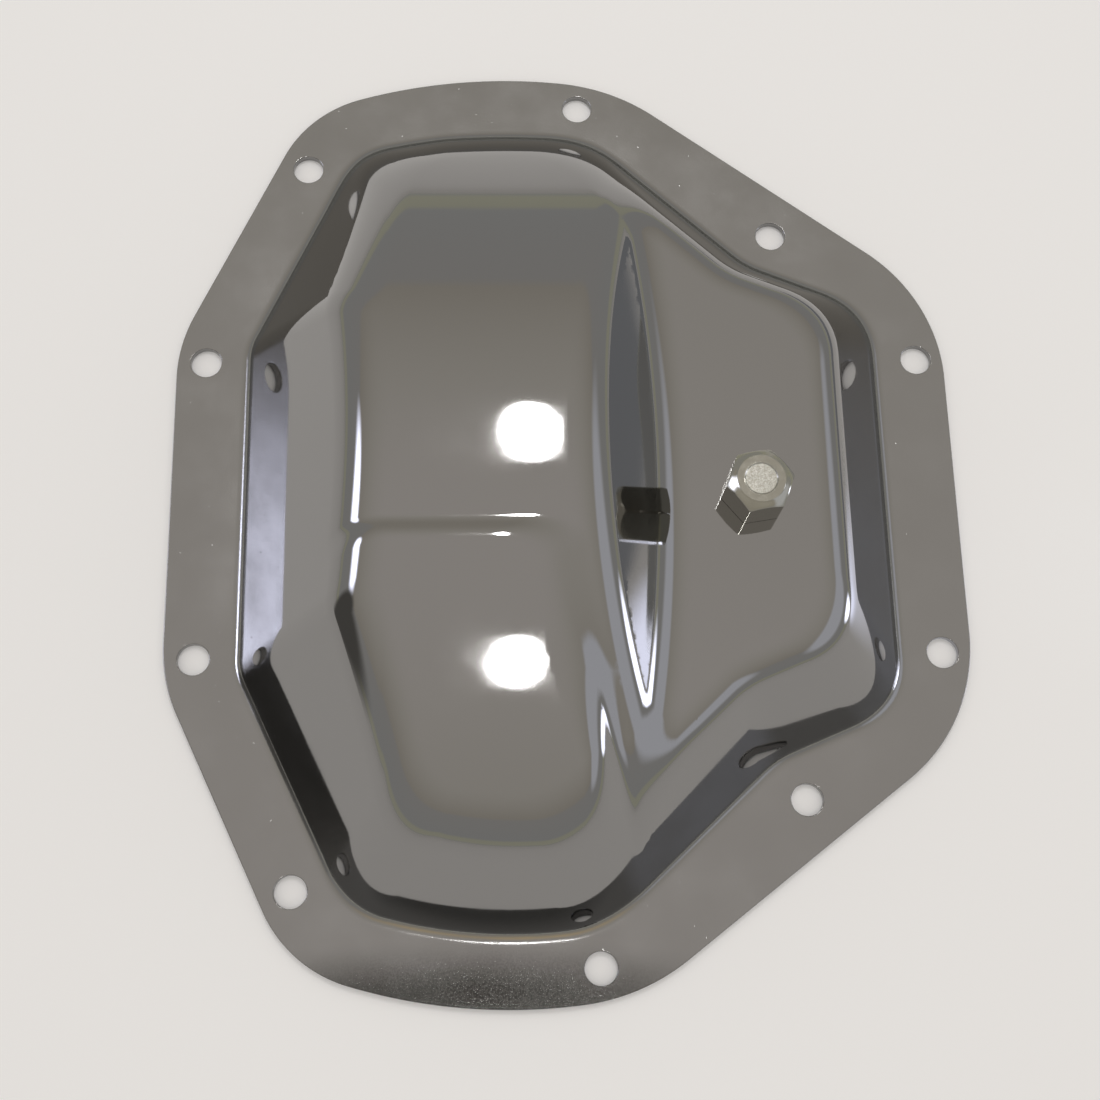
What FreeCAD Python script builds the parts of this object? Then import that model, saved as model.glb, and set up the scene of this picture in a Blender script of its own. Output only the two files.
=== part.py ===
import FreeCAD, Part
import math
import os
import Sketcher

# Cover of a heavy axle housing: one steel sheet pressed to a hollow form with a flat bolting
# flange round it, chromed, and a hex head fill plug in a threaded boss behind the flat panel.
#
# Frame: the gasket face lies at z = 0 and +Z points out of the cover. +Y runs along the long
# side and +X points to the side with the fill plug. The origin is the middle of the outline.

Vector = FreeCAD.Vector
os.makedirs("parts", exist_ok=True)

doc = FreeCAD.newDocument("housing_cover")
sheet = doc.addObject("Spreadsheet::Sheet", "Sizes")

SIZES = [
    # flange outline, one half; the other half is its mirror image
    ("sheet_thickness", 3.0, "steel sheet"),
    ("left_reach", 146.3, "origin to left edge"),
    ("right_reach", 146.3, "origin to right edge"),
    ("left_slope_turn", 25.2, "turn of the left sloping edge from the left edge, degrees"),
    ("left_corner_height", 64.88, "left and left sloping edge lines meet, from the middle line"),
    ("right_slope_turn", 53.3, "turn of the right sloping edge from the right edge, degrees"),
    ("right_corner_height", 83.9, "right and right sloping edge lines meet, from the middle line"),
    ("end_centre_left", 20.0, "centre of the round end, left of the origin"),
    ("end_centre_back", 19.9, "centre of the round end, past the origin"),
    ("end_radius", 200.0, "round end of the flange"),
    ("left_corner_radius", 60.0, "flange corner"),
    ("end_left_radius", 48.0, "flange corner"),
    ("end_right_radius", 75.0, "flange corner"),
    ("right_corner_radius", 66.0, "flange corner"),
    # flange width from the edge to the bend line
    ("side_width", 24.3, "left and right sides"),
    ("left_slope_width", 22.7, "left sloping side"),
    ("end_width", 21.2, "round ends"),
    ("waist_width", 30.8, "right sloping side, where the form is drawn in"),
    ("waist_shift", 0.9, "waist along the sloping side"),
    ("waist_upper_turn", 5.9, "turn of the wall above the waist, degrees"),
    ("waist_lower_turn", 14.5, "turn of the wall below the waist, degrees"),
    # bolt holes, each with its mirror image
    ("bolt_hole", 11.5, "diameter"),
    ("end_hole_inset", 11.0, "from the round end"),
    ("end_hole_angle", 8.4, "from the long axis, degrees"),
    ("slope_hole_inset", 16.8, "from the right sloping edge"),
    ("right_hole_inset", 10.6, "from the right edge"),
    ("right_hole_height", 57.8, "from the middle line"),
    ("left_hole_inset", 10.9, "from the left edge"),
    ("left_hole_height", 57.4, "from the middle line"),
    ("corner_hole_inset", 11.2, "from the left sloping edge"),
    ("corner_hole_place", 84.2, "along the left sloping edge"),
    # drawn form
    ("wall_lean_angle", 31.5, "lean of the walls from upright, degrees"),
    ("bend_radius", 5.0, "outer face, flange to wall"),
    ("dome_height", 76.0, "gasket face to the top of the bulge"),
    ("dome_radius", 205.0, "curve of the bulge along its length"),
    ("panel_height", 47.0, "gasket face to the flat panel"),
    ("crescent_inset", 113.7, "curved wall's foot on the middle line, from the right edge"),
    ("crescent_radius", 560.0, "curve of that wall in plan"),
    ("crescent_slope", 46.5, "slope of that wall, degrees"),
    ("crescent_foot_radius", 16.0, "hollow at its foot"),
    ("crown_radius", 16.0, "round of the bulge and of the panel towards the plug side"),
    ("left_crown_radius", 12.0, "round of the bulge on the left"),
    ("form_left_radius", 25.0, "upright round, left corner"),
    ("form_end_left_radius", 25.0, "upright round, end to left slope"),
    ("form_end_right_radius", 45.0, "upright round, end to right slope"),
    ("form_waist_radius", 40.0, "upright hollow at the waist"),
    ("form_right_radius", 32.0, "upright round, right corner"),
    # raised pad on the lower half of the bulge
    ("pad_edge", 29.0, "upper edge of the pad, below the middle line"),
    ("pad_side", 39.8, "right edge of the pad, left of the curved wall's foot"),
    ("pad_rise", 3.1, "step from the bulge to the pad at its upper edge"),
    ("pad_end", 125.7, "lower end of the pad"),
    ("pad_end_drop", 25.5, "top of the bulge to the pad at its lower end"),
    ("pad_radius", 420.0, "curve of the pad along its length"),
    ("pad_left_radius", 22.0, "left corner in plan"),
    ("pad_right_radius", 12.0, "right corners in plan"),
    ("pad_crown_radius", 6.0, "round of its edges"),
    # fill hole, boss and plug
    ("fill_inset", 84.3, "fill hole, from the right edge"),
    ("fill_down", 10.9, "fill hole, below the middle line"),
    ("thread_size", 17.1, "pipe thread, outer diameter"),
    ("thread_gap", 0.15, "thread to bore all round"),
    ("hole_gap", 0.5, "thread to the hole in the sheet all round"),
    ("boss_size", 28.0, "outer diameter"),
    ("boss_length", 11.0, "length"),
    ("boss_chamfer", 1.0, "mouth of the bore"),
    ("weld_leg", 3.5, "bead round the boss"),
    ("head_flats", 20.6, "across flats"),
    ("head_height", 15.5, "seat to top"),
    ("head_turn", 9.0, "turn of the hexagon, degrees"),
    ("head_top", 17.0, "round of the top"),
    ("head_chamfer_slope", 30.0, "slope of the turned chamfer, degrees"),
    ("head_face", 15.2, "round face of the top"),
    ("head_sink", 0.4, "depth of the mark in the face"),
    ("head_mark", 11.4, "round mark in the face"),
    ("plug_length", 17.0, "seat to end of thread"),
    ("plug_tip", 1.5, "chamfer at the end of the thread"),
]

for row, (name, value, note) in enumerate(SIZES, start=1):
    sheet.set("A%d" % row, name)
    sheet.set("B%d" % row, str(value))
    sheet.set("C%d" % row, note)
    sheet.setAlias("B%d" % row, name)
doc.recompute()


def size(name):
    """Value of a cell of the sheet of sizes."""
    return float(sheet.get(name))


def turned(angle, length=1.0):
    """Plan vector at an angle from +X, in degrees."""
    return Vector(length * math.cos(math.radians(angle)), length * math.sin(math.radians(angle)), 0)


# Each straight side is a line in plan: the angle of its normal and its distance from the origin.
def crossing(first, second):
    """Point in plan where two such lines meet."""
    a, b = turned(first[0]), turned(second[0])
    det = a.x * b.y - a.y * b.x
    x = (first[1] * b.y - second[1] * a.y) / det
    y = (a.x * second[1] - b.x * first[1]) / det
    return Vector(x, y, 0)


def round_meets(line, centre, radius, side):
    """Point in plan where a line meets the round end; side is +1 or -1 along the line."""
    normal = turned(line[0])
    along = Vector(-normal.y, normal.x, 0)
    foot = normal * line[1]
    start = (centre - foot).dot(along)
    reach = math.sqrt(radius ** 2 - (line[1] - centre.dot(normal)) ** 2)
    return foot + along * (start + side * reach)


def corner_between(first, second, radius):
    """Centre and two touching points of a round between two lines."""
    inner_first = (first[0], first[1] - radius)
    inner_second = (second[0], second[1] - radius)
    centre = crossing(inner_first, inner_second)
    return centre, centre + turned(first[0], radius), centre + turned(second[0], radius)


def corner_on_end(line, end_centre, end_radius, radius, side):
    """Centre and touching points of a round between a line and the round end."""
    inner = (line[0], line[1] - radius)
    centre = round_meets(inner, end_centre, end_radius - radius, side)
    outward = (centre - end_centre).normalize()
    return centre, centre + turned(line[0], radius), centre + outward * radius


# flange plate, one half drawn and the other mirrored
def slope_reach(reach, turn, height):
    """Distance from the origin of a sloping edge that meets a side at a height."""
    return reach * math.cos(math.radians(turn)) + height * math.sin(math.radians(turn))


LEFT = (180.0, size("left_reach"))
LEFT_SLOPE = (180.0 - size("left_slope_turn"),
              slope_reach(size("left_reach"), size("left_slope_turn"), size("left_corner_height")))
RIGHT_SLOPE = (size("right_slope_turn"),
               slope_reach(size("right_reach"), size("right_slope_turn"), size("right_corner_height")))
LEFT_SLOPE_REACH = ("(Sizes.left_reach * cos(Sizes.left_slope_turn * 1 deg)"
                    " + Sizes.left_corner_height * sin(Sizes.left_slope_turn * 1 deg))")
RIGHT_SLOPE_REACH = ("(Sizes.right_reach * cos(Sizes.right_slope_turn * 1 deg)"
                     " + Sizes.right_corner_height * sin(Sizes.right_slope_turn * 1 deg))")
RIGHT = (0.0, size("right_reach"))
END_CENTRE = Vector(-size("end_centre_left"), -size("end_centre_back"), 0)


def origin_plane(body, role):
    """Origin plane of a body, found by its role."""
    return [f for f in body.Origin.OriginFeatures if f.Role == role][0]


def new_sketch(body, name, role):
    """Sketch on one of the body's own origin planes."""
    sketch = body.newObject("Sketcher::SketchObject", name)
    sketch.AttachmentSupport = [(origin_plane(body, role), "")]
    sketch.MapMode = "FlatFace"
    return sketch


def bind(sketch, index, name, formula):
    """Name a constraint and tie it to the sheet."""
    sketch.renameConstraint(index, name)
    sketch.setExpression("Constraints." + name, formula)


def dimension(sketch, name, formula, kind, *values):
    """Add a dimension to a sketch and tie it to the sheet."""
    bind(sketch, sketch.addConstraint(Sketcher.Constraint(kind, *values)), name, formula)


def arc(centre, start, end):
    """Arc of a circle, counter-clockwise from start to end."""
    first = math.atan2(start.y - centre.y, start.x - centre.x)
    last = math.atan2(end.y - centre.y, end.x - centre.x)
    circle = Part.Circle(centre, Vector(0, 0, 1), (start - centre).Length)
    return Part.ArcOfCircle(circle, first, last)


plate = doc.addObject("PartDesign::Body", "flange_plate")
outline = new_sketch(plate, "flange_outline", "XY_Plane")
left_c, left_a, left_b = corner_between(LEFT, LEFT_SLOPE, size("left_corner_radius"))
right_c, right_b, right_a = corner_between(RIGHT, RIGHT_SLOPE, size("right_corner_radius"))
end_left_c, end_left_a, end_left_b = corner_on_end(
    LEFT_SLOPE, END_CENTRE, size("end_radius"), size("end_left_radius"), -1)
end_right_c, end_right_b, end_right_a = corner_on_end(
    RIGHT_SLOPE, END_CENTRE, size("end_radius"), size("end_right_radius"), 1)
low_right = Vector(RIGHT[1], 0, 0)
low_left = Vector(-LEFT[1], 0, 0)

outline.addGeometry([
    Part.LineSegment(low_right, right_b),
    arc(right_c, right_b, right_a),
    Part.LineSegment(right_a, end_right_b),
    arc(end_right_c, end_right_b, end_right_a),
    arc(END_CENTRE, end_right_a, end_left_b),
    arc(end_left_c, end_left_b, end_left_a),
    Part.LineSegment(end_left_a, left_b),
    arc(left_c, left_b, left_a),
    Part.LineSegment(left_a, low_left),
    Part.LineSegment(low_left, low_right),
])
for first in range(8):
    outline.addConstraint(Sketcher.Constraint("Tangent", first, 2, first + 1, 1))
outline.addConstraint(Sketcher.Constraint("Coincident", 8, 2, 9, 1))
outline.addConstraint(Sketcher.Constraint("Coincident", 9, 2, 0, 1))
outline.addConstraint(Sketcher.Constraint("PointOnObject", 9, 1, -1))
outline.addConstraint(Sketcher.Constraint("PointOnObject", 9, 2, -1))
outline.addConstraint(Sketcher.Constraint("Vertical", 0))
outline.addConstraint(Sketcher.Constraint("Vertical", 8))
dimension(outline, "right_reach", "Sizes.right_reach", "DistanceX", -1, 1, 0, 1, RIGHT[1])
dimension(outline, "left_reach", "Sizes.left_reach", "DistanceX", 8, 2, -1, 1, LEFT[1])
dimension(outline, "right_slope", "(90 + Sizes.right_slope_turn) * 1 deg",
          "Angle", 2, math.radians(90 + RIGHT_SLOPE[0]))
dimension(outline, "left_slope", "(-90 - Sizes.left_slope_turn) * 1 deg",
          "Angle", 6, math.radians(-90 - size("left_slope_turn")))
dimension(outline, "right_slope_reach", RIGHT_SLOPE_REACH, "Distance", -1, 1, 2, RIGHT_SLOPE[1])
dimension(outline, "left_slope_reach", LEFT_SLOPE_REACH, "Distance", -1, 1, 6, LEFT_SLOPE[1])
dimension(outline, "right_corner", "Sizes.right_corner_radius", "Radius", 1, size("right_corner_radius"))
dimension(outline, "end_right", "Sizes.end_right_radius", "Radius", 3, size("end_right_radius"))
dimension(outline, "round_end", "Sizes.end_radius", "Radius", 4, size("end_radius"))
dimension(outline, "end_left", "Sizes.end_left_radius", "Radius", 5, size("end_left_radius"))
dimension(outline, "left_corner", "Sizes.left_corner_radius", "Radius", 7, size("left_corner_radius"))
dimension(outline, "end_centre_x", "Sizes.end_centre_left", "DistanceX", 4, 3, -1, 1, size("end_centre_left"))
dimension(outline, "end_centre_y", "Sizes.end_centre_back", "DistanceY", 4, 3, -1, 1, size("end_centre_back"))

flange_pad = plate.newObject("PartDesign::Pad", "flange_sheet")
flange_pad.Profile = outline
flange_pad.setExpression("Length", "Sizes.sheet_thickness")
doc.recompute()

end_hole = END_CENTRE + turned(90 - size("end_hole_angle"), size("end_radius") - size("end_hole_inset"))
slope_hole = turned(RIGHT_SLOPE[0], RIGHT_SLOPE[1] - size("slope_hole_inset"))
right_hole = Vector(RIGHT[1] - size("right_hole_inset"), size("right_hole_height"), 0)
left_hole = Vector(size("left_hole_inset") - LEFT[1], size("left_hole_height"), 0)
corner_hole = (turned(LEFT_SLOPE[0], LEFT_SLOPE[1] - size("corner_hole_inset"))
               + turned(LEFT_SLOPE[0] - 90, size("corner_hole_place")))
END_HOLE_X = "(Sizes.end_radius - Sizes.end_hole_inset) * sin(Sizes.end_hole_angle * 1 deg) - Sizes.end_centre_left"
END_HOLE_Y = "(Sizes.end_radius - Sizes.end_hole_inset) * cos(Sizes.end_hole_angle * 1 deg) - Sizes.end_centre_back"
SLOPE_HOLE = "(" + RIGHT_SLOPE_REACH + " - Sizes.slope_hole_inset) * "
CORNER_X = ("(" + LEFT_SLOPE_REACH + " - Sizes.corner_hole_inset) * cos(Sizes.left_slope_turn * 1 deg)"
            " - Sizes.corner_hole_place * sin(Sizes.left_slope_turn * 1 deg)")
CORNER_Y = ("(" + LEFT_SLOPE_REACH + " - Sizes.corner_hole_inset) * sin(Sizes.left_slope_turn * 1 deg)"
            " + Sizes.corner_hole_place * cos(Sizes.left_slope_turn * 1 deg)")
BOLT_HOLES = [
    (end_hole, END_HOLE_X, END_HOLE_Y),
    (slope_hole, SLOPE_HOLE + "cos(Sizes.right_slope_turn * 1 deg)",
     SLOPE_HOLE + "sin(Sizes.right_slope_turn * 1 deg)"),
    (right_hole, "Sizes.right_reach - Sizes.right_hole_inset", "Sizes.right_hole_height"),
    (left_hole, "Sizes.left_reach - Sizes.left_hole_inset", "Sizes.left_hole_height"),
    (corner_hole, CORNER_X, CORNER_Y),
]
bolt_plan = new_sketch(plate, "bolt_holes", "XY_Plane")
for index, (centre, across, along) in enumerate(BOLT_HOLES):
    bolt_plan.addGeometry(Part.Circle(centre, Vector(0, 0, 1), size("bolt_hole") / 2))
    order = (-1, 1, index, 3) if centre.x > 0 else (index, 3, -1, 1)
    number = bolt_plan.addConstraint(Sketcher.Constraint("DistanceX", *order, abs(centre.x)))
    bind(bolt_plan, number, "across_%d" % index, across)
    number = bolt_plan.addConstraint(Sketcher.Constraint("DistanceY", -1, 1, index, 3, centre.y))
    bind(bolt_plan, number, "along_%d" % index, along)
    number = bolt_plan.addConstraint(Sketcher.Constraint("Diameter", index, size("bolt_hole")))
    bind(bolt_plan, number, "bore_%d" % index, "Sizes.bolt_hole")

bolt_cut = plate.newObject("PartDesign::Pocket", "bolt_cut")
bolt_cut.Profile = bolt_plan
bolt_cut.Reversed = True
bolt_cut.Type = "ThroughAll"
doc.recompute()

halves = plate.newObject("PartDesign::Mirrored", "both_halves")
halves.Originals = [flange_pad, bolt_cut]
halves.MirrorPlane = (origin_plane(plate, "XZ_Plane"), [""])
plate.Tip = halves
doc.recompute()

# Drawn form: the same form is made for the outer face and, a sheet's thickness inside it, for the
# inner face. Each skin is the same distance inside the outer face everywhere.
LEAN = math.radians(size("wall_lean_angle"))
WAIST = (turned(RIGHT_SLOPE[0], RIGHT_SLOPE[1] - size("waist_width"))
         + turned(RIGHT_SLOPE[0] + 90, size("waist_shift")))
WAIST_UPPER = RIGHT_SLOPE[0] - size("waist_upper_turn")
WAIST_LOWER = RIGHT_SLOPE[0] + size("waist_lower_turn")
SHEET = size("sheet_thickness")
BULGE_TOP = size("dome_height")
DRAWN_HEIGHT = BULGE_TOP + 2 * SHEET
END_REACH = size("end_radius") - size("end_width")
CRESCENT_FOOT = RIGHT[1] - size("crescent_inset")

# bend lines in plan, in order from the left side to the right side; the end line only closes the
# polygon above the round end
WALLS = [
    (180.0, LEFT[1] - size("side_width")),
    (LEFT_SLOPE[0], LEFT_SLOPE[1] - size("left_slope_width")),
    (90.0, END_REACH),
    (WAIST_UPPER, WAIST.dot(turned(WAIST_UPPER))),
    (WAIST_LOWER, WAIST.dot(turned(WAIST_LOWER))),
    (0.0, RIGHT[1] - size("side_width")),
]


def inset(height, skin):
    """How far a wall has leaned in from its bend line at a height above the gasket face."""
    bend = size("bend_radius") * math.tan((math.pi / 2 - LEAN) / 2)
    return bend + (height - SHEET) * math.tan(LEAN) + skin / math.cos(LEAN)


def wall(index, height, skin):
    """Line of a wall at a height."""
    return (WALLS[index][0], WALLS[index][1] - inset(height, skin))


def ring(height, skin):
    """Corners of the form's section at a height."""
    lines = [wall(index, height, skin) for index in range(len(WALLS))]
    upper = [crossing(lines[index], lines[index + 1]) for index in range(len(lines) - 1)]
    lower = [Vector(point.x, -point.y, 0) for point in reversed(upper)]
    return [Vector(point.x, point.y, height) for point in upper + lower]


def mirrored(point):
    """The same point in the lower half."""
    return Vector(point.x, -point.y, point.z)


def leaned_block(skin):
    """Block with the leaning walls all round and the two round ends."""
    low, high = ring(0, skin), ring(DRAWN_HEIGHT, skin)
    faces = [Part.Face(Part.makePolygon(low + low[:1])), Part.Face(Part.makePolygon(high + high[:1]))]
    for index in range(len(low)):
        after = (index + 1) % len(low)
        corners = [low[index], low[after], high[after], high[index], low[index]]
        faces.append(Part.Face(Part.makePolygon(corners)))
    block = Part.Solid(Part.makeShell(faces))
    if block.Volume < 0:
        block.reverse()
    for side in (1, -1):
        centre = Vector(END_CENTRE.x, side * END_CENTRE.y, 0)
        low_radius = END_REACH - inset(0, skin)
        high_radius = END_REACH - inset(DRAWN_HEIGHT, skin)
        block = block.common(Part.makeCone(low_radius, high_radius, DRAWN_HEIGHT, centre))
    return block


def swept_block(edges, offset, depth):
    """Solid made by moving a closed profile."""
    face = Part.Face(Part.Wire(edges))
    face.translate(offset)
    return face.extrude(depth)


def bulge_block(skin):
    """Block under the bulge's curve, which runs along Y."""
    radius = size("dome_radius") - skin
    middle = BULGE_TOP - size("dome_radius")
    side = radius * 0.94
    drop = middle + math.sqrt(radius ** 2 - side ** 2)
    floor = -SHEET - radius
    top = Part.Arc(Vector(0, -side, drop), Vector(0, 0, middle + radius), Vector(0, side, drop))
    edges = [
        top.toShape(),
        Part.LineSegment(Vector(0, side, drop), Vector(0, side, floor)).toShape(),
        Part.LineSegment(Vector(0, side, floor), Vector(0, -side, floor)).toShape(),
        Part.LineSegment(Vector(0, -side, floor), Vector(0, -side, drop)).toShape(),
    ]
    return swept_block(edges, Vector(-LEFT[1], 0, 0), Vector(LEFT[1] + RIGHT[1], 0, 0))


def panel_space(skin):
    """Space above the flat panel, as far as the curved wall beside the bulge."""
    level = size("panel_height") - skin
    slope = math.radians(size("crescent_slope"))
    hollow = size("crescent_foot_radius") + skin
    foot = CRESCENT_FOOT - skin * math.tan(slope / 2)
    touch = hollow * math.tan(slope / 2)
    axis = CRESCENT_FOOT - size("crescent_radius")
    height = BULGE_TOP
    far = RIGHT[1] + BULGE_TOP
    flat_end = Vector(foot + touch, 0, level)
    middle = Vector(foot + touch - hollow * math.sin(slope / 2), 0, level + hollow * (1 - math.cos(slope / 2)))
    wall_start = Vector(foot - touch * math.cos(slope), 0, level + touch * math.sin(slope))
    wall_end = Vector(foot - height / math.tan(slope), 0, level + height)
    edges = [
        Part.Arc(flat_end, middle, wall_start).toShape(),
        Part.LineSegment(wall_start, wall_end).toShape(),
        Part.LineSegment(wall_end, Vector(far, 0, level + height)).toShape(),
        Part.LineSegment(Vector(far, 0, level + height), Vector(far, 0, level)).toShape(),
        Part.LineSegment(Vector(far, 0, level), flat_end).toShape(),
    ]
    face = Part.Face(Part.Wire(edges))
    face.rotate(Vector(axis, 0, 0), Vector(0, 0, 1), -30)
    return face.revolve(Vector(axis, 0, 0), Vector(0, 0, 1), 60)


def bulge_level(along):
    """Height of the bulge's outer face at a place along Y."""
    return BULGE_TOP - size("dome_radius") + math.sqrt(size("dome_radius") ** 2 - along ** 2)


PAD_TOP = bulge_level(size("pad_edge")) + size("pad_rise")


def pad_edge_line(height, skin):
    """Y of the pad's upper face at a height."""
    base = bulge_level(size("pad_edge"))
    return -size("pad_edge") - (height - base) * math.tan(LEAN) - skin / math.cos(LEAN)


def pad_side_line(height, skin):
    """X of the pad's right face at a height."""
    return CRESCENT_FOOT - size("pad_side") - (height - PAD_TOP) * math.tan(LEAN) - skin / math.cos(LEAN)


def pad_block(skin, block):
    """Raised pad, down to the gasket face."""
    start = Vector(0, -size("pad_edge"), PAD_TOP)
    end = Vector(0, -size("pad_end"), BULGE_TOP - size("pad_end_drop"))
    chord = end - start
    across = Vector(0, chord.z, -chord.y).normalize()
    if across.z < 0:
        across = across * -1
    radius = size("pad_radius")
    depth = math.sqrt(radius ** 2 - (chord.Length / 2) ** 2)
    centre = start + chord * 0.5 - across * depth
    radius = radius - skin
    points = []
    for along in (0.0, -END_REACH / 2, -END_REACH):
        points.append(Vector(0, along, centre.z + math.sqrt(radius ** 2 - (along - centre.y) ** 2)))
    ends = (points[0], points[2])
    middle = points[1]
    floor = -SHEET - radius
    edges = [
        Part.Arc(ends[0], middle, ends[1]).toShape(),
        Part.LineSegment(ends[1], Vector(0, ends[1].y, floor)).toShape(),
        Part.LineSegment(Vector(0, ends[1].y, floor), Vector(0, ends[0].y, floor)).toShape(),
        Part.LineSegment(Vector(0, ends[0].y, floor), ends[0]).toShape(),
    ]
    arch = swept_block(edges, Vector(-LEFT[1], 0, 0), Vector(LEFT[1] + RIGHT[1], 0, 0))
    far = 4 * LEFT[1]
    for height_line, is_edge in ((pad_edge_line, True), (pad_side_line, False)):
        low, high = height_line(0, skin), height_line(DRAWN_HEIGHT, skin)
        profile = [(low, 0), (high, DRAWN_HEIGHT), (-far, DRAWN_HEIGHT), (-far, 0), (low, 0)]
        if is_edge:
            points = [Vector(0, level, height) for level, height in profile]
            leaning = Part.Face(Part.makePolygon(points))
            leaning.translate(Vector(-far, 0, 0))
            arch = arch.common(leaning.extrude(Vector(2 * far, 0, 0)))
        else:
            points = [Vector(level, 0, height) for level, height in profile]
            leaning = Part.Face(Part.makePolygon(points))
            leaning.translate(Vector(0, -far, 0))
            arch = arch.common(leaning.extrude(Vector(0, 2 * far, 0)))
    return arch.common(block)


def edges_at(shape, points):
    """Edges that pass through given points, one for each point."""
    found = []
    for point in points:
        spot = Part.Vertex(point)
        nearest = min(shape.Edges, key=lambda edge: edge.distToShape(spot)[0])
        if not any(nearest.isSame(edge) for edge in found):
            found.append(nearest)
    return found


def rounded(shape, radius, points):
    """Shape with the edges through some points rounded."""
    return shape.makeFillet(radius, edges_at(shape, points)).Solids[0]


def upright_corner(first, second, height, skin):
    """Point of the edge between two walls at a height."""
    point = crossing(wall(first, height, skin), wall(second, height, skin))
    return Vector(point.x, point.y, height)


def end_corner(index, side, height, skin):
    """Point of the edge between a wall and the round end at a height."""
    point = round_meets(wall(index, height, skin), END_CENTRE, END_REACH - inset(height, skin), side)
    return Vector(point.x, point.y, height)


def drawn_form(skin):
    """The pressed form, filled, with its face a skin's depth inside the outer face."""
    block = leaned_block(skin).Solids[0]
    low = SHEET * 3
    corner = end_corner(1, -1, low, skin)
    block = rounded(block, size("form_end_left_radius") - skin, [corner])
    block = rounded(block, size("form_end_left_radius") - skin, [mirrored(corner)])
    corner = end_corner(3, 1, low, skin)
    block = rounded(block, size("form_end_right_radius") - skin, [corner, mirrored(corner)])

    # pad, with its own corners
    middle = size("panel_height")
    pad = pad_block(skin, block).Solids[0]
    left = -(WALLS[0][1] - inset(middle, skin))
    edge_line = pad_edge_line(middle, skin)
    pad = rounded(pad, size("pad_left_radius") - skin, [Vector(left, edge_line, middle)])
    side_line = pad_side_line(middle, skin)
    pad = rounded(pad, size("pad_right_radius") - skin, [Vector(side_line, edge_line, middle)])
    lower = middle / 2
    side_line = pad_side_line(lower, skin)
    cut = crossing((0.0, side_line), wall(3, lower, skin))
    pad = rounded(pad, size("pad_right_radius") - skin, [Vector(side_line, -cut.y, lower)])

    # bulge, panel and pad as one, then the upright corners that the panel shares
    form = block.common(bulge_block(skin)).cut(panel_space(skin))
    form = form.fuse(pad).removeSplitter().Solids[0]
    corner = upright_corner(3, 4, lower, skin)
    form = rounded(form, size("form_waist_radius") + skin, [corner, mirrored(corner)])
    corner = upright_corner(4, 5, lower, skin)
    form = rounded(form, size("form_right_radius") - skin, [corner, mirrored(corner)])
    corner = upright_corner(0, 1, lower, skin)
    form = rounded(form, size("form_left_radius") - skin, [corner])
    form = rounded(form, size("form_left_radius") - skin, [mirrored(corner)])

    # crown of the bulge and edges of the panel, then the pad's own edges
    top = BULGE_TOP - skin
    slope = math.radians(size("crescent_slope"))
    drop = (BULGE_TOP - size("panel_height")) / math.tan(slope)
    crown = Vector(CRESCENT_FOOT - skin * math.tan(slope / 2) - drop, 0, top)
    form = rounded(form, size("crown_radius") - skin, [crown])
    left_crown = Vector(-(WALLS[0][1] - inset(top, skin)), 0, top)
    form = rounded(form, size("left_crown_radius") - skin, [left_crown])
    top = PAD_TOP - skin
    across = (pad_side_line(top, skin) - (WALLS[0][1] - inset(top, skin))) / 2
    form = rounded(form, size("pad_crown_radius") - skin, [Vector(across, pad_edge_line(top, skin), top)])
    return form


outer_form = doc.addObject("Part::Feature", "outer_form")
outer_form.Shape = drawn_form(0.0)
inner_form = doc.addObject("Part::Feature", "inner_form")
inner_form.Shape = drawn_form(SHEET)

raised = doc.addObject("Part::Fuse", "plate_and_form")
raised.Base = plate
raised.Tool = outer_form
raised.Refine = True
doc.recompute()


def bend_edge(shape, level, skin, radius):
    """Numbered edge of the right wall at a level, from which the bend runs all round."""
    spot = Part.Vertex(Vector(wall(5, level, skin)[1], 0, level))
    gaps = [edge.distToShape(spot)[0] for edge in shape.Edges]
    return [(gaps.index(min(gaps)) + 1, radius, radius)]


bent_out = doc.addObject("Part::Fillet", "outer_bend")
bent_out.Base = raised
bent_out.Edges = bend_edge(raised.Shape, SHEET, 0.0, size("bend_radius"))
doc.recompute()

hollowed = doc.addObject("Part::Cut", "hollowed")
hollowed.Base = bent_out
hollowed.Tool = inner_form
doc.recompute()

bent_in = doc.addObject("Part::Fillet", "inner_bend")
bent_in.Base = hollowed
bent_in.Edges = bend_edge(hollowed.Shape, 0.0, SHEET, size("bend_radius") + SHEET)
doc.recompute()

fill_drill = doc.addObject("Part::Cylinder", "fill_drill")
fill_drill.setExpression("Radius", "Sizes.thread_size / 2 + Sizes.hole_gap")
fill_drill.setExpression("Height", "3 * Sizes.sheet_thickness")
fill_drill.setExpression("Placement.Base.x", "Sizes.right_reach - Sizes.fill_inset")
fill_drill.setExpression("Placement.Base.y", "-Sizes.fill_down")
fill_drill.setExpression("Placement.Base.z", "Sizes.panel_height - 2 * Sizes.sheet_thickness")

shell = doc.addObject("Part::Cut", "cover_shell")
shell.Label = "cover_shell"
shell.Base = bent_in
shell.Tool = fill_drill
doc.recompute()


def place_on_panel(body):
    """Put a turned piece on the fill hole's axis, its own zero on the panel's outer face."""
    body.setExpression("Placement.Base.x", "Sizes.right_reach - Sizes.fill_inset")
    body.setExpression("Placement.Base.y", "-Sizes.fill_down")
    body.setExpression("Placement.Base.z", "Sizes.panel_height")


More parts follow.
